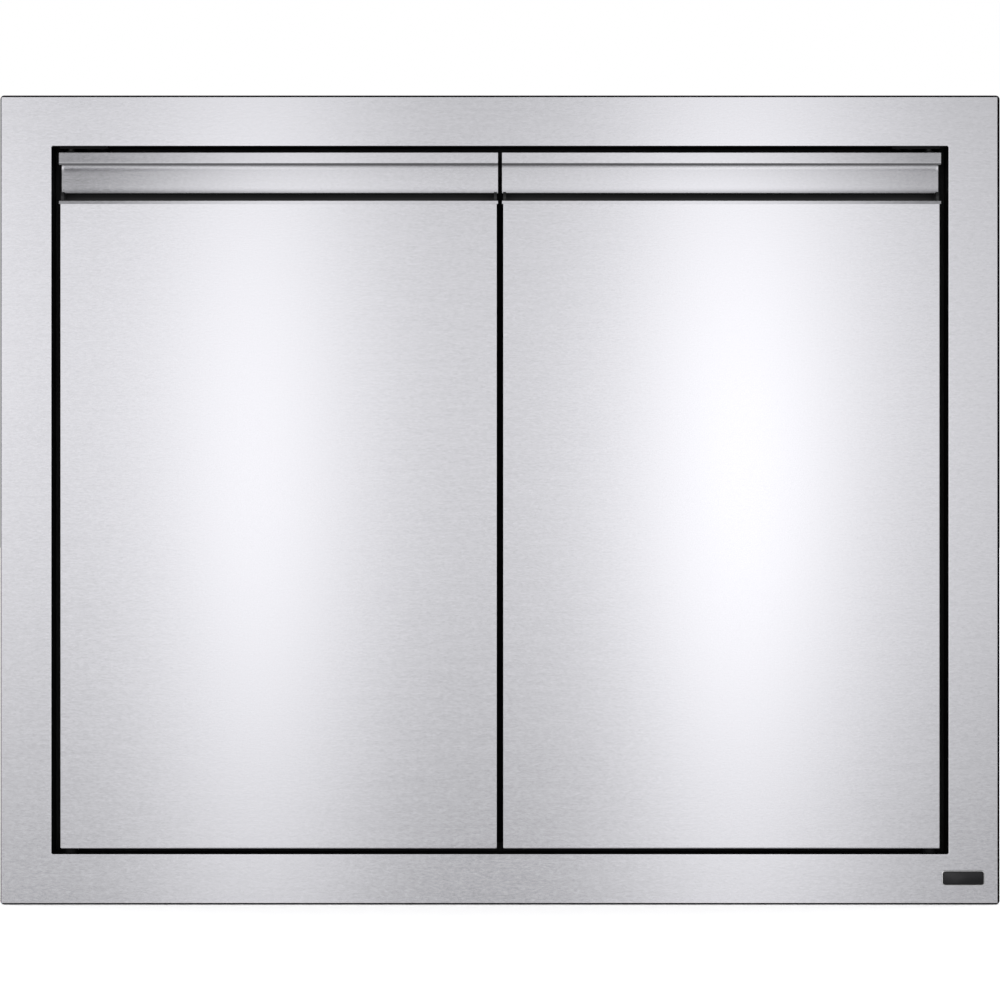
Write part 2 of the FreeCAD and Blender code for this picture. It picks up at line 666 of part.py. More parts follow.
def catch_bracket():
    """Angle that hangs the catch from the head channel."""
    def place(y, z):
        return vec(-CATCH_HALF_WIDTH, y, z)

    points = [(CATCH_LEAF_END_Y, HEAD_BOTTOM), (CATCH_BACK_Y, HEAD_BOTTOM),
              (CATCH_BACK_Y, CATCH_TOP_Z - CATCH_HEIGHT)]
    body = bent_sheet(points, [CATCH_BEND_INNER], CATCH_SHEET, place, vec(2.0 * CATCH_HALF_WIDTH, 0, 0))
    holes = [rod(CATCH_SCREW_R + HOLE_CLEAR, seat + vec(0, PAST, 0), seat - vec(0, CATCH_SHEET + PAST, 0))
             for seat in catch_screw_seats()]
    return cut(body, holes + frame_rivet_holes())


def catch_screws():
    """Two pan-head screws from behind the bracket."""
    screws = []
    for seat in catch_screw_seats():
        head = rod(CATCH_SCREW_HEAD_R, seat, seat + vec(0, CATCH_SCREW_HEAD, 0))
        rim = [e for e in head.Edges
               if isinstance(e.Curve, Part.Circle) and e.Curve.Center.y > seat.y + NEAR]
        head = head.makeFillet(CATCH_SCREW_EDGE_R, rim)
        shank = rod(CATCH_SCREW_R, seat, seat - vec(0, CATCH_SCREW_DEPTH + CATCH_SHEET - HOLE_CLEAR, 0))
        screws.append(fuse([head, shank]))
    return screws


def badge_plate():
    """A blank plate with round ends, stuck to the face."""
    half_x, half_z = PLATE_WIDTH / 2.0, PLATE_HEIGHT / 2.0
    front = FRONT_Y - PLATE_THICK
    body = upright_block(PLATE_CENTRE_X - half_x, PLATE_CENTRE_X + half_x, front, FRONT_Y,
                         PLATE_CENTRE_Z - half_z, PLATE_CENTRE_Z + half_z, PLATE_CORNER_R)
    return body.makeFillet(PLATE_EDGE_R, edges_where(body, lambda p: abs(p.y - front) < NEAR))


def hinge_screw_seats():
    """Centres of the two countersunk heads, in the top flange."""
    start = PIN_FROM_EDGE + BUSH_FLANGE_R
    room = BLOCK_GAP + BLOCK_LENGTH - start
    return [vec(DOOR_EDGE_X + start + room * share, PIN_Y, DOOR_TOP) for share in HINGE_SCREW_SHARES]


def countersunk(seat, grow):
    """A countersunk screw, or with grow its hole, pointing down from its seat."""
    head = Part.makeCone(SCREW_R + grow, SCREW_HEAD_R + grow, SCREW_HEAD, seat - vec(0, 0, SCREW_HEAD))
    length = DOOR_SHEET + BLOCK_HEIGHT - SCREW_END_GAP
    shank = rod(SCREW_R + grow, seat - vec(0, 0, length + grow), seat - vec(0, 0, SCREW_HEAD / 2.0))
    return fuse([head, shank])


def top_rail():
    """Top flange, front lip and the lip's rolled hem."""
    bottom = -LIP_HEIGHT
    tail = bottom + HEM_R + HEM_TAIL
    points = [(LINER_D - FLANGE_CLEAR, 0.0), (0.0, 0.0), (0.0, bottom),
              (2.0 * HEM_R, bottom), (2.0 * HEM_R, tail)]
    rail = bent_sheet(points, [DOOR_BEND_INNER, HEM_INNER, HEM_INNER], DOOR_SHEET,
                      depth_point(0.0), vec(DOOR_WIDTH, 0, 0))
    pivot_hole = rod(BUSH_R + HOLE_CLEAR, vec(PIN_X, PIN_Y, DOOR_TOP + PAST),
                     vec(PIN_X, PIN_Y, DOOR_TOP - DOOR_SHEET - PAST))
    screw_holes = [countersunk(seat, HOLE_CLEAR) for seat in hinge_screw_seats()]
    return cut(rail, [pivot_hole] + screw_holes)


def recess_back():
    """Set-back wall under the top flange, with a convex bend at its foot."""
    leg_d = LINER_D - DOOR_SHEET
    points = [(LINER_D - FLANGE_CLEAR, -DOOR_SHEET), (RECESS_DEPTH, -DOOR_SHEET),
              (RECESS_DEPTH, -RECESS_BOTTOM), (leg_d, -RECESS_BOTTOM),
              (leg_d, -RECESS_BOTTOM - RECESS_LEG)]
    radii = [DOOR_BEND_INNER, RECESS_BEND_INNER, DOOR_BEND_INNER]
    wall = bent_sheet(points, radii, DOOR_SHEET, depth_point(0.0), vec(DOOR_WIDTH, 0, 0))
    notches = [door_block(u0, u0 + PAN_INSIDE, RECESS_DEPTH, DOOR_THICK, RECESS_BOTTOM,
                          RECESS_BOTTOM + RECESS_LEG + PAST) for u0 in (0.0, DOOR_WIDTH - PAN_INSIDE)]
    return cut(wall, notches + door_rivet_holes())


def finger_pocket():
    """Black channel behind the slot, and in each of its ends a plug with a wing above the skin."""
    length = DOOR_WIDTH - 2.0 * PAN_INSIDE
    top = RECESS_BOTTOM + END_CAP_GAP
    points = [(POCKET_FRONT_D, -SKIN_TOP), (POCKET_FRONT_D, -POCKET_FLOOR),
              (POCKET_BACK_D, -POCKET_FLOOR), (POCKET_BACK_D, -top)]
    channel = bent_sheet(points, [POCKET_BEND_INNER] * 2, POCKET_WALL, depth_point(PAN_INSIDE),
                         vec(length, 0, 0))
    low = POCKET_FLOOR - POCKET_WALL
    low_z = DOOR_TOP - low
    plugs = []
    for u0, outer_u in ((PAN_INSIDE, SKIN_INSET), (PAN_INSIDE + length - POCKET_PLUG, FREE_U)):
        plug = door_block(u0, u0 + POCKET_PLUG, CAP_BACK_D + END_CAP_GAP, POCKET_BACK_D - POCKET_WALL,
                          top, low)
        foot = [e for e in edges_where(plug, lambda p: abs(p.z - low_z) < NEAR)
                if abs(e.Vertexes[0].Point.y - e.Vertexes[1].Point.y) < NEAR]
        wing = door_block(min(u0, outer_u), max(u0 + POCKET_PLUG, outer_u), CAP_BACK_D + END_CAP_GAP,
                          POCKET_BACK_D - POCKET_WALL, top, CAP_TOP - END_CAP_GAP)
        plugs.append(fuse([plug.makeFillet(POCKET_BEND_INNER, foot), wing]))
    return [channel] + plugs


def cap_strip():
    """Thin bright channel over the upper edges of the skin and the pocket."""
    points = [(0.0, -CAP_TOP - CAP_FRONT), (0.0, -CAP_TOP), (CAP_BACK_D, -CAP_TOP),
              (CAP_BACK_D, -CAP_TOP - CAP_BACK)]
    strip = bent_sheet(points[::-1], [CAP_SEAT_GAP] * 2, CAP_SHEET, depth_point(0.0), vec(DOOR_WIDTH, 0, 0))
    notches = [door_block(u0, u0 + PAN_INSIDE, SKIN_D, CAP_BACK_D + PAST, CAP_TOP + CAP_SHEET,
                          CAP_TOP + CAP_BACK + PAST) for u0 in (0.0, DOOR_WIDTH - PAN_INSIDE)]
    return cut(strip, notches)


def door_skin():
    """Front pan with side and bottom returns."""
    deep = LINER_D - FLANGE_CLEAR
    body = door_block(SKIN_INSET, FREE_U, SKIN_D, deep, SKIN_TOP, DOOR_HEIGHT)
    front_y = FRONT_Y + SKIN_D
    top_z = DOOR_TOP - SKIN_TOP

    def is_bend(edge):
        points = [v.Point for v in edge.Vertexes]
        on_front = all(abs(p.y - front_y) < NEAR for p in points)
        on_top = all(abs(p.z - top_z) < NEAR for p in points)
        return on_front and not on_top

    def is_corner(edge):
        points = [v.Point for v in edge.Vertexes]
        return abs(points[0].y - points[1].y) > deep / 2.0 and points[0].z < top_z - NEAR

    body = body.makeFillet(PAN_CORNER_R, [e for e in body.Edges if is_corner(e)])
    body = body.makeFillet(PAN_CORNER_R, [e for e in body.Edges if is_bend(e)])
    hollow = door_block(SKIN_INSET + DOOR_SHEET, FREE_U - DOOR_SHEET, SKIN_BACK_D, deep + PAST,
                        SKIN_TOP - PAST, DOOR_HEIGHT - DOOR_SHEET)
    pin_hole = rod(BUSH_R + HOLE_CLEAR, vec(PIN_X, PIN_Y, DOOR_BOTTOM - PAST),
                   vec(PIN_X, PIN_Y, DOOR_BOTTOM + DOOR_SHEET + PAST))
    return cut(body, [hollow, pin_hole])


def lever_slot():
    """The liner's slot that lets the lever rise."""
    u0 = LEVER_ARM_START - SLOT_CLEAR
    u1 = LEVER_ARM_START + LEVER_ARM_WIDTH + SLOT_CLEAR
    low = LEVER_Z - SLOT_CLEAR
    high = LEVER_Z + LEVER_SHEET + PIN_TRAVEL + SLOT_CLEAR
    return block(DOOR_EDGE_X + u0, DOOR_EDGE_X + u1, FRONT_Y + LINER_D - PAST, DOOR_BACK_Y + PAST, low, high)


def door_liner():
    """Back pan: a flat sheet with flanges inside the skin's returns."""
    sheet = door_block(LINER_EDGE, DOOR_WIDTH - LINER_EDGE, LINER_D, DOOR_THICK,
                       FLANGE_CLEAR, DOOR_HEIGHT - FLANGE_CLEAR)
    front = LINER_D - LINER_FLANGE
    inner = PAN_INSIDE
    low = DOOR_HEIGHT - DOOR_SHEET - FLANGE_CLEAR
    top = POCKET_FLOOR + FLANGE_CLEAR
    sides = [door_block(u0, u0 + LINER_SHEET, front, LINER_D, top, low)
             for u0 in (inner, DOOR_WIDTH - inner - LINER_SHEET)]
    past_bracket = inner + LINER_SHEET + BRACKET_SIDE_GAP + BRACKET_WIDTH + SLOT_CLEAR
    foot = door_block(past_bracket, DOOR_WIDTH - inner, front, LINER_D, low - LINER_SHEET, low)
    body = fuse([sheet] + sides + [foot])
    return cut(body, [lever_slot()] + door_rivet_holes())


def stiffener():
    """Hat section bonded to the skin and riveted to the liner."""
    skin_side = SKIN_BACK_D + FLANGE_CLEAR
    crown = LINER_D - HAT_SHEET
    half = HAT_CROWN / 2.0
    mid = DOOR_WIDTH / 2.0
    foot = half + HAT_SLOPE
    end = foot + HAT_FLANGE
    points = [(mid - end, skin_side), (mid - foot, skin_side), (mid - half, crown),
              (mid + half, crown), (mid + foot, skin_side), (mid + end, skin_side)]
    low = DOOR_HEIGHT - HAT_BOTTOM_GAP
    high = POCKET_FLOOR + HAT_TOP_GAP

    def place(u, d):
        return vec(DOOR_EDGE_X + u, FRONT_Y + d, DOOR_TOP - low)

    body = bent_sheet(points, [HAT_SHEET] * 4, HAT_SHEET, place, vec(0, 0, low - high))
    return cut(body, door_rivet_holes())


def end_caps():
    """Moulded plugs in the two ends of the top rail's box."""
    front = RECESS_DEPTH + DOOR_SHEET + END_CAP_GAP
    back = LINER_D - END_CAP_GAP
    top = 2.0 * DOOR_SHEET + END_CAP_GAP
    bottom = RECESS_BOTTOM - RECESS_BEND_R
    caps = []
    for u0, open_side in ((SKIN_INSET, 1.0), (FREE_U - END_CAP_THICK, -1.0)):
        body = door_block(u0, u0 + END_CAP_THICK, front, back, top, bottom)
        shift = END_CAP_WALL * open_side
        hollow = door_block(u0 + shift, u0 + END_CAP_THICK + shift, front + END_CAP_WALL,
                            back - END_CAP_WALL, top + END_CAP_WALL, bottom - END_CAP_WALL)
        caps.append(body.cut(hollow))
    return caps


def hinge_block():
    """Steel block behind the lip that holds the upper bushing."""
    u0 = BLOCK_GAP + SKIN_INSET
    body = door_block(u0, u0 + BLOCK_LENGTH, DOOR_BEND_R, RECESS_DEPTH - BLOCK_GAP,
                      DOOR_SHEET, DOOR_SHEET + BLOCK_HEIGHT)
    bore = rod(BUSH_R + HOLE_CLEAR, vec(PIN_X, PIN_Y, BLOCK_BOTTOM_Z - PAST),
               vec(PIN_X, PIN_Y, DOOR_TOP + PAST))
    ends = [e for e in body.Edges if abs(e.Vertexes[0].Point.z - e.Vertexes[1].Point.z) > BLOCK_HEIGHT / 2.0]
    body = body.makeChamfer(BLOCK_CHAMFER, ends)
    return cut(body, [bore] + [countersunk(seat, HOLE_CLEAR) for seat in hinge_screw_seats()])


def pivot_bushings():
    """Upper bushing in the hinge block, and the lower one that carries the door."""
    top = DOOR_TOP
    upper = fuse([rod(BUSH_R, vec(PIN_X, PIN_Y, BLOCK_BOTTOM_Z), vec(PIN_X, PIN_Y, top)),
                  rod(BUSH_FLANGE_R, vec(PIN_X, PIN_Y, top), vec(PIN_X, PIN_Y, top + BUSH_FLANGE))])
    thrust = SILL_TOP + SILL_BUSH_FLANGE + THRUST_GAP
    spigot_top = BRACKET_BOTTOM_Z + BRACKET_SHEET
    lower = fuse([rod(SILL_BUSH_FLANGE_R, vec(PIN_X, PIN_Y, thrust), vec(PIN_X, PIN_Y, DOOR_BOTTOM)),
                  rod(BUSH_R, vec(PIN_X, PIN_Y, DOOR_BOTTOM), vec(PIN_X, PIN_Y, spigot_top))])
    bore = rod(PIN_R + RUN_CLEAR, vec(PIN_X, PIN_Y, SILL_PLATE_Z), vec(PIN_X, PIN_Y, HEAD_BOTTOM))
    return [upper.cut(bore), lower.cut(bore)]


def lower_bracket():
    """C-shaped guide of the release pin, riveted to the liner."""
    u0 = PAN_INSIDE + LINER_SHEET + BRACKET_SIDE_GAP
    front = SKIN_BACK_D + BRACKET_FRONT_GAP
    low = -(DOOR_HEIGHT - DOOR_SHEET)
    high = low + BRACKET_HEIGHT
    points = [(front, low), (LINER_D, low), (LINER_D, high), (front, high)]
    inner = BRACKET_SHEET / 2.0
    body = bent_sheet(points, [inner, inner], BRACKET_SHEET, depth_point(u0), vec(BRACKET_WIDTH, 0, 0))
    guide = rod(PIN_R + 2.0 * RUN_CLEAR, vec(PIN_X, PIN_Y, SPRING_TOP_Z), vec(PIN_X, PIN_Y, LEVER_Z))
    spigot = rod(BUSH_R + HOLE_CLEAR, vec(PIN_X, PIN_Y, DOOR_BOTTOM),
                 vec(PIN_X, PIN_Y, RING_BOTTOM_Z))
    return cut(body, [guide, spigot] + door_rivet_holes())


def release_pin():
    """Sliding pin with a turned collar for the spring and a spigot for the lever."""
    tip = SILL_PLATE_Z + FLANGE_CLEAR
    shank = rod(PIN_R, vec(PIN_X, PIN_Y, tip), vec(PIN_X, PIN_Y, LEVER_Z))
    shank = shank.makeChamfer(PIN_CHAMFER, circles_at(shank, tip))
    ring_top = RING_BOTTOM_Z + COLLAR_RING
    collar = rod(COLLAR_RING_R, vec(PIN_X, PIN_Y, RING_BOTTOM_Z), vec(PIN_X, PIN_Y, ring_top))
    spigot_top = LEVER_Z + LEVER_SHEET
    spigot = rod(LEVER_SPIGOT_R, vec(PIN_X, PIN_Y, LEVER_Z), vec(PIN_X, PIN_Y, spigot_top))
    head = rod(PIN_R, vec(PIN_X, PIN_Y, spigot_top), vec(PIN_X, PIN_Y, spigot_top + LEVER_RIVET_HEAD))
    return fuse([shank, collar, spigot, head])


def release_lever():
    """Cranked lever: from the pin to a finger tab behind the liner."""
    near = LEVER_WIDTH / 2.0
    u_pin = PIN_FROM_EDGE
    arm_end = LEVER_ARM_START + LEVER_ARM_WIDTH
    z0, z1 = LEVER_Z, LEVER_Z + LEVER_SHEET
    front = PIN_FROM_FRONT - near
    out = DOOR_THICK + LEVER_REACH

    def flat(u0, u1, d0, d1, low, high):
        return block(DOOR_EDGE_X + u0, DOOR_EDGE_X + u1, FRONT_Y + d0, FRONT_Y + d1, low, high)

    bar = flat(u_pin - near, arm_end, front, front + LEVER_WIDTH, z0, z1)
    arm = flat(LEVER_ARM_START, arm_end, front, out, z0, z1)
    tab = flat(LEVER_ARM_START, arm_end, out - LEVER_SHEET, out, z0, z0 + LEVER_TAB)
    hole = rod(LEVER_SPIGOT_R + HOLE_CLEAR, vec(PIN_X, PIN_Y, z0 - PAST), vec(PIN_X, PIN_Y, z1 + PAST))
    body = fuse([bar, arm, tab])
    tab_x = (DOOR_EDGE_X + LEVER_ARM_START, DOOR_EDGE_X + arm_end)
    corners = [e for e in body.Edges
               if abs(e.Vertexes[0].Point.y - e.Vertexes[1].Point.y) > LEVER_SHEET / 2.0
               and e.Length < LEVER_SHEET + NEAR
               and all(abs(v.Point.z - z0 - LEVER_TAB) < NEAR for v in e.Vertexes)
               and min(abs(e.Vertexes[0].Point.x - x) for x in tab_x) < NEAR]
    return body.makeFillet(LEVER_SHEET, corners).cut(hole)


def spring_heights():
    """Height of the wire's centre at each quarter turn, closer together at the ends."""
    low = SPRING_BOTTOM_Z + SPRING_WIRE / 2.0
    high = SPRING_TOP_Z - SPRING_WIRE / 2.0
    quarters = 4 * SPRING_TURNS
    end_quarters = SPRING_END_QUARTERS
    end_step = SPRING_END_PITCH / 4.0
    middle_step = (high - low - 2.0 * end_quarters * end_step) / (quarters - 2 * end_quarters)
    heights = [low]
    for i in range(quarters):
        at_end = i < end_quarters or i >= quarters - end_quarters
        heights.append(heights[-1] + (end_step if at_end else middle_step))
    return heights


def biarc(start, start_way, end, end_way):
    """Two arcs in line with both end directions."""
    chord = end - start
    both = start_way + end_way
    turn = 2.0 * (1.0 - start_way.dot(end_way))
    across = chord.dot(both)
    reach = (-across + math.sqrt(across ** 2 + turn * chord.dot(chord))) / turn
    first = start + start_way * reach
    second = end - end_way * reach
    joint = (first + second) * 0.5
    arcs = []
    for a, corner, b in ((start, first, joint), (joint, second, end)):
        middle = (a + b) * 0.5
        drop = (middle - corner).Length
        radius = (a - middle).Length * reach / drop
        far = math.sqrt(reach ** 2 + radius ** 2)
        arcs.append(Part.Arc(a, corner + (middle - corner) * ((far - radius) / drop), b).toShape())
    return arcs


def pin_spring():
    """Coil spring round the release pin, one unbroken wire."""
    heights = spring_heights()
    quarter = math.pi / 2.0
    points = []
    ways = []
    for i, z in enumerate(heights):
        angle = i * quarter
        points.append(vec(PIN_X + SPRING_R * math.cos(angle), PIN_Y + SPRING_R * math.sin(angle), z))
        before = heights[i - 1] if i else z
        after = heights[i + 1] if i + 1 < len(heights) else z
        steps = (1 if i else 0) + (1 if i + 1 < len(heights) else 0)
        climb = (after - before) / steps / quarter
        ways.append(vec(-SPRING_R * math.sin(angle), SPRING_R * math.cos(angle), climb).normalize())
    edges = []
    for i in range(len(points) - 1):
        edges += biarc(points[i], ways[i], points[i + 1], ways[i + 1])
    spine = Part.Wire(edges)
    section = Part.Wire(Part.Circle(points[0], ways[0], SPRING_WIRE / 2.0).toShape())
    print("spring least self-gap mm: %.3f" % spring_self_gap(edges))
    return spine.makePipeShell([section], True, False)


def spring_self_gap(edges):
    """Least gap between neighbouring turns, measured on points of the wire's centre."""
    per_edge = 6
    points = [p for edge in edges for p in edge.discretize(per_edge)[:-1]]
    per_turn = 8 * (per_edge - 1)
    least = SPRING_TOP_Z - SPRING_BOTTOM_Z
    for i, point in enumerate(points):
        for other in points[i + per_turn * 3 // 4: i + per_turn * 5 // 4]:
            least = min(least, point.distanceToPoint(other))
    return least - SPRING_WIRE


def door_rivet_seats():
    """Seat, direction and grip of each rivet in the liner."""
    back = vec(0, 1, 0)
    seats = []

    def add(u, h, grip, lift=0.0):
        seats.append((vec(DOOR_EDGE_X + u, DOOR_BACK_Y + lift, DOOR_TOP - h), back, grip))

    mid = DOOR_WIDTH / 2.0
    hat_top = POCKET_FLOOR + HAT_TOP_GAP
    hat_run = DOOR_HEIGHT - HAT_BOTTOM_GAP - hat_top
    for share in HAT_RIVET_SHARES:
        add(mid, hat_top + hat_run * share, LINER_SHEET + HAT_SHEET)
    for share in LEG_RIVET_SHARES:
        add(DOOR_WIDTH * share, RECESS_BOTTOM + LEG_RIVET_DROP, LINER_SHEET + DOOR_SHEET)
    for share in BRACKET_RIVET_SHARES:
        add(PIN_FROM_EDGE, DOOR_HEIGHT - DOOR_SHEET - BRACKET_HEIGHT * share, LINER_SHEET + BRACKET_SHEET)
    for x in strike_rivets_x():
        add(x - DOOR_EDGE_X, DOOR_TOP - CATCH_MID_Z, STRIKE_SHEET + LINER_SHEET + DOOR_SHEET, STRIKE_SHEET)
    return seats


def strike_rivets_x():
    """The strike's rivets, outboard of the catch housing."""
    margin = RIVET_HEAD_R + RIVET_MARGIN
    return [-CATCH_HALF_WIDTH - margin, STRIKE_OUTER_X + margin]


def door_rivet_holes():
    """The holes of every rivet in the liner."""
    return [rivet_hole(seat, away, grip) for seat, away, grip in door_rivet_seats()]


def strike_plate():
    """Steel plate on the liner that the catch pulls."""
    half = STRIKE_HEIGHT / 2.0
    body = upright_block(STRIKE_OUTER_X, STRIKE_INNER_X, DOOR_BACK_Y, STRIKE_BACK_Y,
                         CATCH_MID_Z - half, CATCH_MID_Z + half, STRIKE_CORNER_R)
    return cut(body, door_rivet_holes())


def meeting_seal():
    """Soft fin on the free edge, half the gap wide."""
    reach = DOOR_WIDTH + (GAP_CENTRE - SEAL_GAP) / 2.0
    body = door_block(FREE_U, reach, SEAL_FRONT, SEAL_FRONT + SEAL_DEPTH,
                      SKIN_TOP + SEAL_END_GAP, DOOR_HEIGHT - SEAL_END_GAP)
    tip_x = DOOR_EDGE_X + reach
    tip = edges_where(body, lambda p: abs(p.x - tip_x) < NEAR)
    upright = [e for e in tip if e.Length > 2.0 * SEAL_DEPTH]
    return body.makeFillet(SEAL_EDGE_R, upright)


def bumpers():
    """Two soft buttons on the liner near the free edge."""
    u = DOOR_WIDTH - BUMPER_FROM_FREE_EDGE
    tall = STOP_FRONT_Y - BUMPER_GAP - DOOR_BACK_Y
    buttons = []
    for z in (DOOR_TOP - BUMPER_INSET, DOOR_BOTTOM + BUMPER_INSET):
        base = vec(DOOR_EDGE_X + u, DOOR_BACK_Y, z)
        body = rod(BUMPER_R, base, base + vec(0, tall, 0))
        rim = [e for e in body.Edges
               if isinstance(e.Curve, Part.Circle) and e.Curve.Center.y > DOOR_BACK_Y + NEAR]
        buttons.append(body.makeFillet(BUMPER_EDGE_R, rim))
    return buttons


def frame_pieces():
    """Every piece that stays still."""
    pieces = {"face_frame": [face_frame()]}
    for name, shape in list(collar_pieces().items()) + list(stop_pieces().items()):
        pieces[name] = [shape]
    pieces["door_gasket"] = [door_gasket()]
    upper_plate = pivot_plate(HEAD_PLATE_Z, RETURN_BACK_Y + PIVOT_PLATE_GAP, PIN_R + HOLE_CLEAR)
    lower_plate = pivot_plate(SILL_PLATE_Z, FLANGE_BACK_Y + PIVOT_PLATE_GAP, SILL_BUSH_R + HOLE_CLEAR)
    pin = upper_pivot_pin()
    bushing = lower_pivot_bushing()
    pieces["upper_pivot_plates"] = [upper_plate, mirrored(upper_plate)]
    pieces["upper_pivot_pins"] = [pin, mirrored(pin)]
    pieces["lower_pivot_plates"] = [lower_plate, mirrored(lower_plate)]
    pieces["lower_pivot_bushings"] = [bushing, mirrored(bushing)]
    pieces["catch_housing"] = [catch_housing()]
    pieces["catch_magnets"] = catch_magnets()
    pieces["catch_pole_plates"] = catch_pole_plates()
    pieces["catch_bracket"] = [catch_bracket()]
    pieces["catch_screws"] = catch_screws()
    pieces["frame_rivets"] = [rivet(*seat) for seat in frame_rivet_seats()]
    pieces["badge_plate"] = [badge_plate()]
    return pieces


def left_door_pieces():
    """Every piece of the left door, its release pin included."""
    return {
        "top_rail": [top_rail()],
        "recess_back": [recess_back()],
        "finger_pocket": finger_pocket(),
        "cap_strip": [cap_strip()],
        "door_skin": [door_skin()],
        "door_liner": [door_liner()],
        "stiffener": [stiffener()],
        "end_caps": end_caps(),
        "hinge_block": [hinge_block()],
        "pivot_bushings": pivot_bushings(),
        "lower_bracket": [lower_bracket()],
        "release_pin": [release_pin()],
        "release_lever": [release_lever()],
        "pin_spring": [pin_spring()],
        "strike_plate": [strike_plate()],
        "meeting_seal": [meeting_seal()],
        "bumpers": bumpers(),
        "door_rivets": [rivet(*seat) for seat in door_rivet_seats()],
        "hinge_screws": [countersunk(seat, 0.0) for seat in hinge_screw_seats()],
    }


def save(name, solids):
    """Write one node: a single solid, or a group of separate ones."""
    shape = solids[0] if len(solids) == 1 else Part.makeCompound(solids)
    shape.exportStep("parts/" + name + ".step")
    print(name, len(shape.Solids), "solids", "%.0f mm3" % shape.Volume, "valid", shape.isValid())


def main():
    os.makedirs("parts", exist_ok=True)
    for name, solids in frame_pieces().items():
        save(name, solids)
    for name, solids in left_door_pieces().items():
        save("left_" + name, solids)
        save("right_" + name, [mirrored(solid) for solid in solids])


main()
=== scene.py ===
import logging
import math
from dataclasses import dataclass, field
from enum import Enum
from functools import cached_property
from typing import Callable, ClassVar, Optional, Sequence, Union

import bpy
import numpy as np
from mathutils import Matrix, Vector


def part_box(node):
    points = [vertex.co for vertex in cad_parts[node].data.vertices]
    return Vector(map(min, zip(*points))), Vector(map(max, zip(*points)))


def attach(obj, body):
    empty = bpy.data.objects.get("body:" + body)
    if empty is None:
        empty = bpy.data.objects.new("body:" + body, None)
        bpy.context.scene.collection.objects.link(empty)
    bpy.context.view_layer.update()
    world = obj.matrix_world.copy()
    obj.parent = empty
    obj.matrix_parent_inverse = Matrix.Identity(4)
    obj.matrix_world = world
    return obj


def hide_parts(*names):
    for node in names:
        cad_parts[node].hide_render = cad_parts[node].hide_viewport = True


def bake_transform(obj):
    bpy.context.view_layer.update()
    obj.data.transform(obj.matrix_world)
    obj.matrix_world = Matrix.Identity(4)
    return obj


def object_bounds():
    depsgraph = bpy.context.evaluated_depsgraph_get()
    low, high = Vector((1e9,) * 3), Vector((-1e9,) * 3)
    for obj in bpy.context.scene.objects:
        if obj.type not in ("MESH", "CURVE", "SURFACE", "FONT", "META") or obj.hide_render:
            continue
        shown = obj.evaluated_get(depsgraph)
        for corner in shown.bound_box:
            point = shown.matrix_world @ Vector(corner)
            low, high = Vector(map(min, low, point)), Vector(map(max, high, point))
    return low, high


# Looks of a built-in double access door for an outdoor kitchen island.
# Metres, +X right, +Y into the island, +Z up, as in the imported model.

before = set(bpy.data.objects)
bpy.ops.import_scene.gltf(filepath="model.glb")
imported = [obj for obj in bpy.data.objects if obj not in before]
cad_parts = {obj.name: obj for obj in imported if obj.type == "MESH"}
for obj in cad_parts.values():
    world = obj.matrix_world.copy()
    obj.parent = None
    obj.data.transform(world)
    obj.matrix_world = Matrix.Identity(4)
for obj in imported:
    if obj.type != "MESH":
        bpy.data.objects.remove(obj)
CAD_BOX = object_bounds()

MM = 0.001
LOG = logging.getLogger("access_door")

Colour = tuple[float, float, float]
Cell = tuple[float, float, float]
Pair = tuple[float, float]
Ring = list[Vector]
Socket = bpy.types.NodeSocket
Value = Union[Socket, float, Sequence[float]]
Place = tuple[Socket, Socket, Socket]

FULL_TURN = 2.0 * math.pi
QUARTER_TURN = FULL_TURN / 4.0
TEXTURE_SPAN = (0.3, 0.7)  # what noise covers in most places
SHEET_SPREAD = 50.0  # cells between the grains of two sheets
GRAIN_WAY = (1.0, 0.05, 0.0)  # along X, and never quite along a bend's normal
SAME_POINT = 0.01 * MM
SAME_RADIUS = 0.02 * MM
SORT_DIGITS = 5  # hundredths of a millimetre
CROSS_WING = 0.2  # half a wing's width, as a share of the cross's reach
TINY = 1e-6


class Side(Enum):
    """Which of the two doors a piece belongs to."""

    LEFT = "left"
    RIGHT = "right"

    def named(self, name: str) -> str:
        """Full name of this side's node, body or piece."""
        return f"{self.value}_{name}"

    def towards_centre(self) -> int:
        """Sign of X from this side's hinge to the centre line."""
        return 1 if self is Side.LEFT else -1


class Drive(Enum):
    """Shape of the recess in a screw's head."""

    HEXAGON = "hexagon"
    CROSS = "cross"

    def radius(self, angle: float, size: float) -> float:
        """Distance of the recess's edge from the screw's axis.

        Args:
            angle: Direction from the axis, in radians.
            size: Distance of the recess's outermost corner from the axis.

        Returns:
            The distance in that direction.
        """
        if self is Drive.HEXAGON:
            sector = FULL_TURN / 6.0
            turned = (angle % sector) - sector / 2.0
            return size * math.cos(sector / 2.0) / math.cos(turned)
        sector = QUARTER_TURN
        turned = abs((angle + sector / 2.0) % sector - sector / 2.0)
        half_wing = CROSS_WING * size
        to_flank = half_wing / max(math.sin(turned), TINY)
        return max(min(size / math.cos(turned), to_flank), half_wing * math.sqrt(2.0))


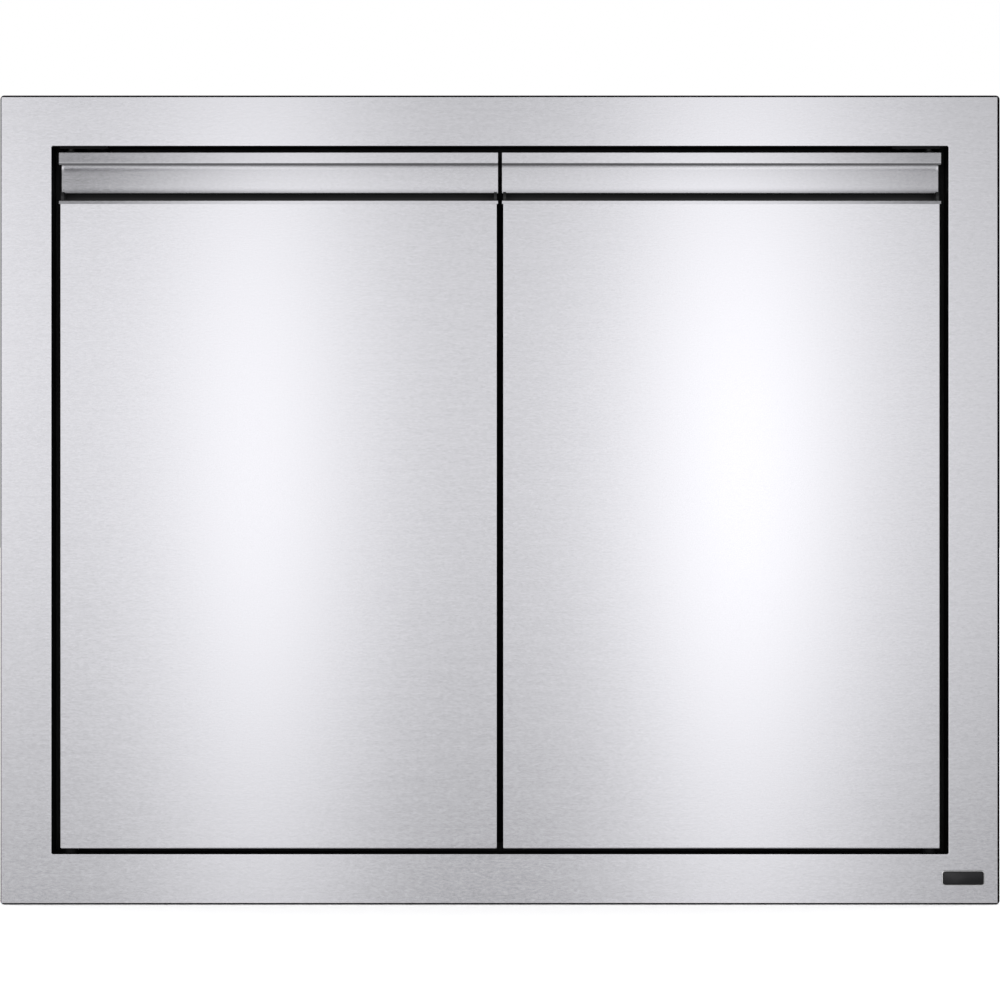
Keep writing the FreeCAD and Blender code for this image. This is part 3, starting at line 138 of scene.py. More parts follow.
class Graph:
    """Short calls that build the nodes of one material or of the world."""

    MIX_LOW, MIX_HIGH, MIX_RESULT = 6, 7, 2  # the mix node's sockets for colours

    def __init__(self, tree: bpy.types.NodeTree) -> None:
        """Empties the tree that is to be filled."""
        self.tree = tree
        tree.nodes.clear()

    def feed(self, target: Socket, value: Value) -> None:
        """Links a socket to an input, or sets the input's own value.

        Args:
            target: The input socket.
            value: An output socket, or a number, vector or colour.
        """
        if isinstance(value, bpy.types.NodeSocket):
            self.tree.links.new(value, target)
        else:
            target.default_value = value

    def add(self, kind: str, *values: Value, **settings: str) -> bpy.types.Node:
        """A new node.

        Args:
            kind: The node's type without its first word, such as Math.
            values: What its first inputs get, in order.
            settings: Its properties by name.

        Returns:
            The node.
        """
        node = self.tree.nodes.new("ShaderNode" + kind)
        for name, value in settings.items():
            setattr(node, name, value)
        for target, value in zip(node.inputs, values):
            self.feed(target, value)
        return node

    def maths(self, operation: str, *values: Value) -> Socket:
        """Result of one step with numbers, such as SUBTRACT."""
        return self.add("Math", *values, operation=operation).outputs[0]

    def times(self, a: Value, b: Value) -> Socket:
        """Product of two numbers."""
        return self.maths("MULTIPLY", a, b)

    def fused(self, a: Value, b: Value, c: Value) -> Socket:
        """Product of two numbers, plus a third."""
        return self.maths("MULTIPLY_ADD", a, b, c)

    def vector_maths(self, operation: str, *values: Value) -> Socket:
        """Result of one step with vectors, such as CROSS_PRODUCT."""
        return self.add("VectorMath", *values, operation=operation).outputs[0]

    def split(self, vector: Socket) -> Place:
        """The three parts of a vector."""
        return tuple(self.add("SeparateXYZ", vector).outputs)

    def join(self, x: Value, y: Value, z: Value) -> Socket:
        """A vector from its three parts."""
        return self.add("CombineXYZ", x, y, z).outputs[0]

    def noise(self, spot: Socket, detail: float = 2.0, roughness: float = 0.5) -> Socket:
        """Noise of about 0.5, with cells one unit across."""
        return self.add("TexNoise", spot, 0.0, 1.0, detail, roughness,
                        noise_dimensions="3D").outputs[0]

    def ranged(self, value: Socket, source: Pair, target: Pair = (0.0, 1.0),
               smooth: bool = False) -> Socket:
        """A value carried from one range to another, and held at the ends."""
        kind = "SMOOTHSTEP" if smooth else "LINEAR"
        return self.add("MapRange", value, *source, *target, interpolation_type=kind).outputs[0]

    def hill(self, value: Socket, centre: float, half_width: float) -> Socket:
        """A smooth hill of height 1, fallen to about a third at its half width."""
        away = self.maths("DIVIDE", self.maths("SUBTRACT", value, centre), half_width)
        return self.maths("POWER", math.e, self.times(self.times(away, away), -1.0))

    def blended(self, share: Socket, low: Colour, high: Colour) -> Socket:
        """A colour between two.

        Args:
            share: 0 for the first colour and 1 for the second.
            low: First colour.
            high: Second colour.

        Returns:
            The colour's socket.
        """
        node = self.add("Mix", share, data_type="RGBA")
        self.feed(node.inputs[self.MIX_LOW], (*low, 1.0))
        self.feed(node.inputs[self.MIX_HIGH], (*high, 1.0))
        return node.outputs[self.MIX_RESULT]

    def bump(self, height: Socket, depth: float, under: Optional[Socket] = None) -> Socket:
        """A normal roughened by a height.

        Args:
            height: Height from 0 to 1.
            depth: The real height of 1, in metres.
            under: A normal that this one is laid over.

        Returns:
            The normal's socket.
        """
        node = self.add("Bump", 1.0, depth)
        self.feed(node.inputs["Height"], height)
        if under is not None:
            self.feed(node.inputs["Normal"], under)
        return node.outputs[0]


class SurfaceGraph(Graph):
    """Nodes of one surface material, with a shader ready to be fed."""

    def __init__(self, name: str) -> None:
        """Makes the material.

        Args:
            name: The material's name.
        """
        self.material = bpy.data.materials.new(name)
        self.material.use_nodes = True
        super().__init__(self.material.node_tree)
        self.shader = self.add("BsdfPrincipled")
        self.add("OutputMaterial", self.shader.outputs[0])
        self.coordinates = self.add("TexCoord").outputs

    @cached_property
    def place(self) -> Place:
        """X, Y and Z on the object."""
        return self.split(self.coordinates["Object"])

    @cached_property
    def facing(self) -> Place:
        """The three parts of the surface's own normal."""
        return self.split(self.coordinates["Normal"])

    def dress(self, **inputs: Value) -> None:
        """Feeds the shader's inputs, named with _ for a space."""
        for name, value in inputs.items():
            self.feed(self.shader.inputs[name.replace("_", " ")], value)

    def in_world(self, vector: Value) -> Socket:
        """A vector of the object as one of the world."""
        return self.add("VectorTransform", vector, vector_type="VECTOR", convert_from="OBJECT",
                        convert_to="WORLD").outputs[0]

    def cells(self, cell: Cell) -> Socket:
        """The place on the object, counted in cells of a size."""
        counts = tuple(1.0 / size for size in cell)
        return self.vector_maths("MULTIPLY", self.coordinates["Object"], counts)


def cube(size: float) -> Cell:
    """A cell with the same size along X, Y and Z."""
    return (size, size, size)


def shade(colour: Colour, factor: Union[float, Colour]) -> Colour:
    """A colour made lighter or darker by a factor, or by one for each part."""
    factors = factor if isinstance(factor, tuple) else (factor,) * 3
    return tuple(min(part * by, 1.0) for part, by in zip(colour, factors))


@dataclass(frozen=True)
class Finish:
    """A surface finish, with the values that every finish has."""

    name: str
    colour: Colour
    roughness: float

    def material(self) -> bpy.types.Material:
        """The finish's material, built the first time that it is asked for.

        Returns:
            The material.
        """
        made = bpy.data.materials.get(self.name)
        if made is None:
            g = SurfaceGraph(self.name)
            self.lay(g)
            made = g.material
        return made

    def lay(self, g: SurfaceGraph) -> None:
        """Builds the material's nodes; each kind of finish has its own way."""
        raise NotImplementedError

    def painted_light_and_shade(self, g: SurfaceGraph) -> Optional[Socket]:
        """Factor of the colour at each place that paints light or shade on it, or none where it is
        even.
        """
        return None

    def with_painted_light_and_shade(self, g: SurfaceGraph, colour: Socket) -> Socket:
        """A colour with the finish's painted light and shade."""
        painted_light_and_shade = self.painted_light_and_shade(g)
        return g.vector_maths("MULTIPLY", colour, g.join(*[painted_light_and_shade] * 3)) if painted_light_and_shade else colour

    def rough(self, g: SurfaceGraph, texture: Socket, spread: Pair) -> Socket:
        """Roughness that a texture varies, from its own value plus one end of the spread."""
        ends = (self.roughness + spread[0], self.roughness + spread[1])
        return g.ranged(texture, TEXTURE_SPAN, ends)


@dataclass(frozen=True)
class GrainLayer:
    """One layer of brush marks: size of a mark, weight and number of finer layers."""

    along: float
    across: float
    share: float
    detail: float


@dataclass(frozen=True)
class BrushedSteel(Finish):
    """Stainless sheet with a grain along X that wraps round its bends."""

    anisotropy: float = 0.7
    contrast: float = 0.23
    layers: tuple[GrainLayer, ...] = (GrainLayer(2.0 * MM, 0.6 * MM, 0.42, 2.0),
                                      GrainLayer(3.6 * MM, 1.2 * MM, 0.42, 1.0),
                                      GrainLayer(45.0 * MM, 3.0 * MM, 0.16, 2.0))
    grain_depth: float = 0.009 * MM
    wave_cell: float = 190.0 * MM
    wave_depth: float = 0.12 * MM
    rough_spread: Pair = (-0.03, 0.03)
    level_from: float = 0.7
    crisp_below: bool = False

    def push(self, g: SurfaceGraph) -> Value:
        """Vector that the sheet's normal is pushed by; a flat sheet has none."""
        return (0.0, 0.0, 0.0)

    @staticmethod
    def crisp(g: SurfaceGraph, part: Socket) -> Socket:
        """What one part of a normal loses, so that a bend looks tighter.

        Args:
            g: The nodes that it joins.
            part: That part of the normal.

        Returns:
            The change of that part.
        """
        square = g.times(part, part)
        fourth = g.times(square, square)
        return g.times(part, g.fused(fourth, fourth, -1.0))

    def grain(self, g: SurfaceGraph) -> Socket:
        """Height and shade of the grain.

        Args:
            g: The nodes that it joins.

        Returns:
            A value of about 0.5 on average.
        """
        x, y, z = g.place
        level = g.maths("GREATER_THAN", g.maths("ABSOLUTE", g.facing[2]), self.level_from)
        upright = g.maths("SUBTRACT", 1.0, level)
        along = g.fused(y, upright, x)
        across = g.maths("ADD", g.times(z, upright), g.times(y, level))
        sheet = g.times(g.add("ObjectInfo").outputs["Random"], SHEET_SPREAD)
        total: Value = 0.0
        for layer in self.layers:
            spot = g.join(g.maths("DIVIDE", along, layer.along), sheet,
                          g.maths("DIVIDE", across, layer.across))
            total = g.fused(g.noise(spot, layer.detail), layer.share, total)
        return total

    def lay(self, g: SurfaceGraph) -> None:
        """Builds the material's nodes.

        Args:
            g: Where they go.
        """
        grain = self.grain(g)
        colour = g.blended(grain, shade(self.colour, 1.0 - self.contrast),
                           shade(self.colour, 1.0 + self.contrast))
        wave = g.noise(g.cells(cube(self.wave_cell)), 0.0)
        rippled = g.bump(grain, self.grain_depth, g.bump(wave, self.wave_depth))
        nx, _, nz = g.facing
        rising = nz if self.crisp_below else g.maths("MAXIMUM", nz, 0.0)
        bends = g.join(self.crisp(g, nx), 0.0, self.crisp(g, rising))
        change = g.in_world(g.vector_maths("ADD", bends, self.push(g)))
        normal = g.vector_maths("NORMALIZE", g.vector_maths("ADD", rippled, change))
        crosswise = g.vector_maths("CROSS_PRODUCT", g.add("NewGeometry").outputs["Normal"],
                                   g.in_world(GRAIN_WAY))
        g.dress(Base_Color=self.with_painted_light_and_shade(g, colour), Metallic=1.0, Anisotropic=self.anisotropy,
                Roughness=self.rough(g, grain, self.rough_spread), Tangent=crosswise,
                Normal=normal)


@dataclass(frozen=True)
class FrameSteel(BrushedSteel):
    """Sheet of the face frame, with painted shade on its rolled outer edge and inside the opening.
    """

    half_size: Pair = (419.0 * MM, 339.25 * MM)
    rim_shift: float = -0.5 * MM
    rim: Pair = (0.9 * MM, 1.8 * MM)
    bend_depth: Pair = (-8.3 * MM, -7.7 * MM)
    # painted shade: colour factor on the outer bend
    painted_rim_shade: float = 0.12
    rim_push: Pair = (-2.4, 2.0)
    inside: Pair = (0.82, 0.95)
    # painted shade: colour factor on the faces inside the opening
    painted_opening_shade: float = 0.03

    def on_rim(self, g: SurfaceGraph) -> Socket:
        """Where the outer bend is.

        Args:
            g: The nodes that it joins.

        Returns:
            1 on the bend and 0 elsewhere.
        """
        x, y, z = g.place
        shifted = g.maths("SUBTRACT", x, self.rim_shift)
        inwards = [g.maths("SUBTRACT", half, g.maths("ABSOLUTE", part))
                   for half, part in zip(self.half_size, (shifted, z))]
        near = g.ranged(g.maths("MINIMUM", *inwards), self.rim, (1.0, 0.0))
        return g.times(near, g.ranged(y, self.bend_depth, (1.0, 0.0)))

    def painted_light_and_shade(self, g: SurfaceGraph) -> Optional[Socket]:
        """Painted shade on the outer bend and inside the opening, and even elsewhere.

        Args:
            g: The nodes that it joins.

        Returns:
            The factor.
        """
        outwards = [g.times(g.maths("SIGN", g.place[i]), g.facing[i]) for i in (0, 2)]
        inwards = g.times(g.maths("MINIMUM", *outwards), -1.0)
        opening_shade = g.ranged(inwards, self.inside, (1.0, self.painted_opening_shade))
        return g.times(opening_shade, g.fused(self.on_rim(g), self.painted_rim_shade - 1.0, 1.0))

    def push(self, g: SurfaceGraph) -> Value:
        """Turns the outer bend's normals up and outwards."""
        share = self.on_rim(g)
        return g.join(0.0, *(g.times(share, part) for part in self.rim_push))


@dataclass(frozen=True)
class RailSteel(BrushedSteel):
    """Folded strip along the top of a door, which leans back a little towards the hinges."""

    lean: float = 0.008
    left_lean: float = 0.085
    right_lean: float = 0.055
    ends: Pair = (80.0 * MM, 355.0 * MM)
    underside: Pair = (-0.05, -0.3)
    # painted shade: colour factor where the sheet faces down
    painted_under_shade: float = 0.25

    def painted_light_and_shade(self, g: SurfaceGraph) -> Optional[Socket]:
        """Painted shade on the underside of the rolled edge."""
        return g.ranged(g.facing[2], self.underside, (1.0, self.painted_under_shade))

    def slope(self, g: SurfaceGraph) -> Socket:
        """How far the strip leans up at each place.

        Args:
            g: The nodes that it joins.

        Returns:
            The slope.
        """
        outwards = g.ranged(g.maths("ABSOLUTE", g.place[0]), self.ends)
        on_left = g.maths("LESS_THAN", g.place[0], 0.0)
        gain = g.fused(on_left, self.left_lean - self.right_lean, self.right_lean)
        return g.fused(g.times(outwards, outwards), gain, self.lean)

    def push(self, g: SurfaceGraph) -> Value:
        """Tilts the normals by the slope."""
        return g.join(0.0, 0.0, self.slope(g))


@dataclass(frozen=True)
class WallSteel(RailSteel):
    """Wall of the recess, which rolls back softly towards its foot and its head."""

    heights: Pair = (260.0 * MM, 278.0 * MM)
    height_lean: Pair = (-0.016, 0.0)
    foot_heights: Pair = (264.5 * MM, 259.5 * MM)
    foot_roll: float = 0.06
    head_heights: Pair = (277.3 * MM, 282.7 * MM)
    head_roll: float = -0.38
    head_calm: float = 0.6

    def slope(self, g: SurfaceGraph) -> Socket:
        """How far the wall leans up at each place.

        Args:
            g: The nodes that it joins.

        Returns:
            The slope.
        """
        z = g.place[2]
        height = g.ranged(z, self.heights, self.height_lean)
        foot, head = g.ranged(z, self.foot_heights), g.ranged(z, self.head_heights)
        height = g.fused(g.times(foot, foot), self.foot_roll, height)
        height = g.fused(g.times(head, head), self.head_roll, height)
        return g.fused(super().slope(g), g.fused(head, -self.head_calm, 1.0), height)


@dataclass(frozen=True)
class Texture:
    """Noise whose cells have a size along X, Y and Z."""

    cell: Cell
    detail: float = 2.0
    roughness: float = 0.5

    def read(self, g: SurfaceGraph) -> Socket:
        """The noise at each place on the object."""
        return g.noise(g.cells(self.cell), self.detail, self.roughness)


@dataclass(frozen=True)
class TexturedFinish(Finish):
    """A finish that one texture colours, and another gives its relief."""

    cloud: Texture = Texture(cube(35.0 * MM))
    cloud_span: Optional[Pair] = None
    shades: tuple[Union[float, Colour], Union[float, Colour]] = (1.0, 1.0)
    relief: Texture = Texture(cube(0.5 * MM))
    relief_depth: float = 0.01 * MM
    relief_roughens: bool = False
    rough_spread: Optional[Pair] = None
    metallic: float = 0.0
    specular: float = 0.5
    coat: float = 0.0
    coat_roughness: float = 0.03

    def height(self, g: SurfaceGraph, cloud: Socket) -> Socket:
        """Height of the relief, which the clouds can be a part of."""
        return self.relief.read(g)

    def lay(self, g: SurfaceGraph) -> None:
        """Builds the material's nodes.

        Args:
            g: Where they go.
        """
        cloud = self.cloud.read(g)
        height = self.height(g, cloud)
        share = g.ranged(cloud, self.cloud_span) if self.cloud_span else cloud
        colour = g.blended(share, *(shade(self.colour, factor) for factor in self.shades))
        roughness: Value = self.roughness
        if self.rough_spread:
            roughness = self.rough(g, height if self.relief_roughens else cloud, self.rough_spread)
        g.dress(Base_Color=self.with_painted_light_and_shade(g, colour), Roughness=roughness, Metallic=self.metallic,
                Specular_IOR_Level=self.specular, Coat_Weight=self.coat,
                Coat_Roughness=self.coat_roughness, Normal=g.bump(height, self.relief_depth))


@dataclass(frozen=True)
class PowderCoat(TexturedFinish):
    """Fine-textured powder coat with a faint cloudiness."""

    cloud_span: Optional[Pair] = TEXTURE_SPAN
    shades: Pair = (0.8, 1.15)
    relief_depth: float = 0.02 * MM
    relief_roughens: bool = True
    rough_spread: Optional[Pair] = (-0.06, 0.06)
    specular: float = 0.12


@dataclass(frozen=True)
class MouldedPlastic(TexturedFinish):
    """Moulded nylon with flow marks and a fine spark-eroded texture."""

    cloud: Texture = Texture((40.0 * MM, 12.0 * MM, 12.0 * MM))
    shades: Pair = (0.85, 1.2)
    relief: Texture = Texture(cube(0.35 * MM), 3.0, 0.6)
    relief_depth: float = 0.012 * MM
    rough_spread: Optional[Pair] = (-0.04, 0.05)


@dataclass(frozen=True)
class PocketPlastic(MouldedPlastic):
    """Nylon of the finger pocket, with painted light that makes it paler towards the foot of the
    slot.
    """

    # painted light: colour raised towards the foot of the slot
    painted_light_heights: Pair = (256.5 * MM, 253.5 * MM)
    painted_light_factor: float = 2.0

    def painted_light_and_shade(self, g: SurfaceGraph) -> Optional[Socket]:
        """Painted light: pale at the foot of the slot."""
        return g.ranged(g.place[2], self.painted_light_heights, (1.0, self.painted_light_factor), smooth=True)


@dataclass(frozen=True)
class Rubber(TexturedFinish):
    """Extruded or moulded rubber, dull, with a faint bloom."""

    cloud: Texture = Texture((22.0 * MM, 22.0 * MM, 60.0 * MM), 3.0, 0.6)
    cloud_span: Optional[Pair] = (0.45, 0.75)
    shades: Pair = (1.0, 1.8)
    relief: Texture = Texture(cube(0.3 * MM))
    rough_spread: Optional[Pair] = (-0.08, 0.08)
    specular: float = 0.0


@dataclass(frozen=True)
class ZincPlate(TexturedFinish):
    """Zinc plating over rolled sheet: mottled, with a faint blue cast."""

    cloud: Texture = Texture(cube(7.0 * MM), 4.0, 0.65)
    cloud_span: Optional[Pair] = (0.35, 0.65)
    shades: tuple[Colour, Colour] = ((1.06, 1.02, 0.95), (0.92, 0.97, 1.06))
    relief: Texture = Texture((6.0 * MM, 6.0 * MM, 0.6 * MM))
    relief_depth: float = 0.006 * MM
    rough_spread: Optional[Pair] = (-0.07, 0.09)
    metallic: float = 1.0


def tool_marks(pitch: float) -> Texture:
    """Fine marks round the Z axis, a pitch apart."""
    return Texture((20.0 * MM, 20.0 * MM, pitch), 1.0)


@dataclass(frozen=True)
class TurnedSteel(TexturedFinish):
    """Bright turned or drawn steel with fine tool marks round its axis."""

    cloud: Texture = Texture(cube(5.0 * MM), 3.0)
    shades: Pair = (0.86, 1.12)
    relief: Texture = tool_marks(0.25 * MM)
    relief_depth: float = 0.004 * MM
    rough_spread: Optional[Pair] = (-0.04, 0.08)
    metallic: float = 1.0


@dataclass(frozen=True)
class Sintered(TexturedFinish):
    """Sintered ferrite: dull, with pale grains and small pits."""

    cloud: Texture = Texture(cube(0.4 * MM), 3.0, 0.7)
    cloud_span: Optional[Pair] = (0.4, 0.72)
    shades: Pair = (1.0, 1.9)
    relief: Texture = Texture(cube(1.6 * MM))
    relief_depth: float = 0.05 * MM
    pit_span: Pair = (0.3, 0.42)
    metallic: float = 0.3

    def height(self, g: SurfaceGraph, cloud: Socket) -> Socket:
        """Height of the grains, which is nothing in a pit."""
        return g.times(g.ranged(self.relief.read(g), self.pit_span), cloud)


@dataclass(frozen=True)
class Enamel(TexturedFinish):
    """Glossy enamel field of the blank plate."""

    cloud: Texture = Texture(cube(0.2 * MM), 1.0)
    shades: Pair = (0.7, 1.6)
    relief: Texture = Texture(cube(2.2 * MM), 1.0)
    relief_roughens: bool = True
    rough_spread: Optional[Pair] = (0.0, 0.08)
    specular: float = 0.2
    coat: float = 0.25
    coat_roughness: float = 0.08


STEEL_COLOUR = (0.69, 0.687, 0.722)
FACE_STEEL = BrushedSteel("brushed_face_steel", STEEL_COLOUR, 0.17)
FRAME_STEEL = FrameSteel("brushed_frame_steel", STEEL_COLOUR, 0.17, crisp_below=True)
RAIL_STEEL = RailSteel("brushed_rail_steel", STEEL_COLOUR, 0.17)
CAP_STEEL = RailSteel("brushed_cap_steel", STEEL_COLOUR, 0.17, lean=0.015, left_lean=0.1,
                      right_lean=0.085, ends=(110.0 * MM, 355.0 * MM), painted_under_shade=1.0)
# the wall's downward-facing foot gets painted shade
WALL_STEEL = WallSteel("brushed_wall_steel", STEEL_COLOUR, 0.18, left_lean=0.09,
                       underside=(-0.5, -0.9), painted_under_shade=0.4, crisp_below=True)
BACK_STEEL = BrushedSteel("brushed_back_steel", (0.62, 0.62, 0.63), 0.34, anisotropy=0.6)
BLACK_COAT = PowderCoat("textured_black_coat", (0.02, 0.02, 0.021), 0.6)
# a darker copy of the black coat: painted shade for pieces that sit in the gaps
GAP_SHADE_COAT = PowderCoat("textured_black_coat_painted_gap_shade", (0.008, 0.008, 0.0083), 0.6)
BLACK_NYLON = MouldedPlastic("black_moulded_nylon", (0.005, 0.005, 0.0055), 0.55, specular=0.08)
POCKET_NYLON = PocketPlastic("black_pocket_nylon", (0.024, 0.024, 0.0245), 0.7, specular=0.0)
BLACK_RUBBER = Rubber("bloomed_black_rubber", (0.0038, 0.0038, 0.004), 0.8)
ZINC = ZincPlate("zinc_plated_steel", (0.6, 0.61, 0.63), 0.38)
BRIGHT_STEEL = TurnedSteel("bright_turned_steel", (0.7, 0.7, 0.7), 0.2)
SPRING_STEEL = TurnedSteel("drawn_spring_wire", (0.5, 0.5, 0.51), 0.28,
                           relief=tool_marks(0.12 * MM))
BLACK_OXIDE = TurnedSteel("black_oxide_steel", (0.012, 0.012, 0.012), 0.45, metallic=0.4)
FERRITE = Sintered("sintered_ferrite", (0.05, 0.05, 0.053), 0.78)
PLATE_ENAMEL = Enamel("plate_enamel", (0.006, 0.006, 0.007), 0.18)
PLATE_RIM = TurnedSteel("plate_bright_rim", (0.78, 0.78, 0.79), 0.16, relief=tool_marks(2.0 * MM))


def dress(finish: Finish, *nodes: str) -> None:
    """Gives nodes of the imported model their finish.

    Args:
        finish: The finish.
        nodes: The nodes' names.
    """
    for node in nodes:
        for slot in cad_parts[node].material_slots:
            slot.material = finish.material()
        LOG.info("%s wears %s", node, finish.name)


def in_scene(name: str, data: bpy.types.ID) -> bpy.types.Object:
    """A new object in the scene.

    Args:
        name: Its name.
        data: Its mesh or camera.

    Returns:
        The object.
    """
    made = bpy.data.objects.new(name, data)
    bpy.context.scene.collection.objects.link(made)
    return made


def place(piece: bpy.types.Object, body: str, node: str) -> None:
    """Makes a new piece ride on a body in place of a node.

    Args:
        piece: The piece.
        body: The body's name.
        node: The node that it stands for.
    """
    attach(piece, body)
    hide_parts(node)
    LOG.info("%s replaces %s on %s", piece.name, node, body)


@dataclass
class Surface:
    """A mesh under construction: its points, its faces and the finish of each face."""

    points: list[Vector] = field(default_factory=list)
    faces: list[tuple[int, ...]] = field(default_factory=list)
    finishes: list[int] = field(default_factory=list)

    def add_face(self, numbers: Sequence[int], finish: int) -> None:
        """Adds a face from its points' numbers."""
        self.faces.append(tuple(numbers))
        self.finishes.append(finish)

    def skin(self, rings: Sequence[Ring], finishes: Optional[Sequence[int]] = None,
             loop: bool = False) -> None:
        """Joins a row of closed rings into a tube, and closes its ends.

        Args:
            rings: The rings in order, all with as many points.
            finishes: A finish for each band between rings, or none for the first finish.
            loop: Whether the last ring joins the first, so that there are no ends.
        """
        bands = finishes or [0] * len(rings)
        count = len(rings[0])
        numbers = []
        for ring in rings:
            start = len(self.points)
            self.points.extend(ring)
            numbers.append(range(start, start + count))
        for first, second, finish in zip(numbers, numbers[1:] + numbers[:int(loop)], bands):
            for i in range(count):
                j = (i + 1) % count
                self.add_face((first[i], first[j], second[j], second[i]), finish)
        if not loop:
            self.add_face(numbers[0][::-1], bands[0])
            self.add_face(numbers[-1], bands[-1])

    def piece(self, name: str, finishes: Sequence[Finish],
              smooth_angle: float) -> bpy.types.Object:
        """Turns the mesh into an object in the scene.

        Args:
            name: The object's name.
            finishes: The finishes that the faces' numbers stand for.
            smooth_angle: Edges sharper than this, in degrees, stay sharp.

        Returns:
            The object.
        """
        mesh = bpy.data.meshes.new(name)
        mesh.from_pydata([tuple(p) for p in self.points], [], self.faces)
        for finish in finishes:
            mesh.materials.append(finish.material())
        mesh.polygons.foreach_set("material_index", self.finishes)
        mesh.validate()
        mesh.update()
        mesh.set_sharp_from_angle(angle=math.radians(smooth_angle))
        mesh.polygons.foreach_set("use_smooth", [True] * len(mesh.polygons))
        return in_scene(name, mesh)


@dataclass(frozen=True)
class Axis:
    """A straight line with a direction, about which round things are made."""

    origin: Vector
    away: Vector

    def sideways(self) -> tuple[Vector, Vector]:
        """Two directions square to the axis and to each other."""
        first = self.away.cross(Vector((1.0, 0.0, 0.0) if self.away.z else (0.0, 0.0, 1.0)))
        return first, self.away.cross(first).normalized()

    def ring(self, height: float, radius: Callable[[float], float], count: int) -> Ring:
        """Points round the axis.

        Args:
            height: Distance along the axis.
            radius: Distance from the axis for an angle.
            count: Number of points.

        Returns:
            The points in order.
        """
        first, second = self.sideways()
        middle = self.origin + self.away * height
        angles = [FULL_TURN * i / count for i in range(count)]
        return [middle + (first * math.cos(angle) + second * math.sin(angle)) * radius(angle)
                for angle in angles]

    def turned(self, profile: Sequence[Pair], count: int) -> list[Ring]:
        """Rings of a turned shape, from pairs of radius and height."""
        return [self.ring(height, lambda angle, r=radius: r, count) for radius, height in profile]


def arc(centre: Pair, radius: Pair, start: float, end: float, steps: int) -> list[Pair]:
    """Points on part of an ellipse.

    Args:
        centre: Its centre.
        radius: Its two half widths.
        start: First angle in degrees.
        end: Last angle in degrees.
        steps: Number of steps between them.

    Returns:
        The points in order, both ends included.
    """
    angles = [math.radians(start + (end - start) * i / steps) for i in range(steps + 1)]
    return [(centre[0] + radius[0] * math.cos(angle), centre[1] + radius[1] * math.sin(angle))
            for angle in angles]


def corner_bends(low: Vector, high: Vector, radius: float) -> list[tuple[float, float, float]]:
    """The four corner bends of a rounded rectangle that is seen from the front.

    Args:
        low: Lowest corner of its space.
        high: Highest corner of it.
        radius: Radius of the bends.

    Returns:
        X and Z of each bend's centre, and the angle in degrees at which it starts.
    """
    left, right = low.x + radius, high.x - radius
    foot, head = low.z + radius, high.z - radius
    return [(right, head, 0.0), (left, head, 90.0), (left, foot, 180.0), (right, foot, 270.0)]


def islands(node: str) -> list[np.ndarray]:
    """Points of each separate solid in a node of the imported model.

    Args:
        node: The node's name.

    Returns:
        One array of points for each solid, from left to right and low to high.
    """
    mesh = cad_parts[node].data
    places = np.array([v.co for v in mesh.vertices], float).reshape(-1, 3)
    keys, merged = np.unique(np.round(places / SAME_POINT).astype(np.int64), axis=0,
                             return_inverse=True)
    merged = merged.reshape(-1)
    group = list(range(len(keys)))

    def root(i: int) -> int:
        """The number that stands for a point's group.

        Args:
            i: The point's number.

        Returns:
            The lowest number in the group.
        """
        while group[i] != i:
            group[i] = group[group[i]]
            i = group[i]
        return i

    for edge in mesh.edges:
        a, b = root(merged[edge.vertices[0]]), root(merged[edge.vertices[1]])
        group[max(a, b)] = min(a, b)
    owners = np.array([root(int(i)) for i in merged])
    found = [places[owners == owner] for owner in np.unique(owners)]
    return sorted(found, key=lambda p: tuple(np.round(p.mean(axis=0), SORT_DIGITS)))


@dataclass(frozen=True)
class Fastener:
    """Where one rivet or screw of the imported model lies."""

    axis: Axis
    head_radius: float
    head_height: float
    length: float

    @classmethod
    def read(cls, points: np.ndarray) -> "Fastener":
        """Finds a fastener's axis and sizes from its solid.

        Args:
            points: Points of the solid.

        Returns:
            The fastener, with its axis starting in the seat and pointing out of the head.
        """
        low, high = points.min(axis=0), points.max(axis=0)
        size, middle = high - low, (low + high) / 2.0
        along = int(np.argmax(np.abs(size - np.median(size))))
        others = [i for i in range(3) if i != along]
        reach = np.linalg.norm(points[:, others] - middle[others], axis=1)
        widest = points[reach > reach.max() - SAME_RADIUS][:, along]
        points_up = high[along] - widest.mean() < widest.mean() - low[along]
        seat = widest.min() if points_up else widest.max()
        tip = high[along] if points_up else low[along]
        away = Vector((0.0, 0.0, 0.0))
        away[along] = 1.0 if points_up else -1.0
        origin = Vector(middle)
        origin[along] = seat
        head = abs(float(tip - seat))
        return cls(Axis(origin, away), float(reach.max()), head, float(size[along]) - head)


@dataclass(frozen=True)
class FastenerSet:
    """Rivets or screws in place of the plain solids of a node."""

    smooth_angle: ClassVar[float]

    def rings(self, fastener: Fastener) -> list[Ring]:
        """Rings of one fastener; each kind has its own shape."""
        raise NotImplementedError

    def build(self, name: str, node: str, finish: Finish, body: str, slot: str) -> None:
        """Builds all the fasteners of a node as one piece.

        Args:
            name: The new piece's name.
            node: The node that they replace.
            finish: Their finish.
            body: The body that they ride on.
            slot: Not used.
        """
        surface = Surface()
        for points in islands(node):
            surface.skin(self.rings(Fastener.read(points)))
        place(surface.piece(name, [finish], self.smooth_angle), body, node)


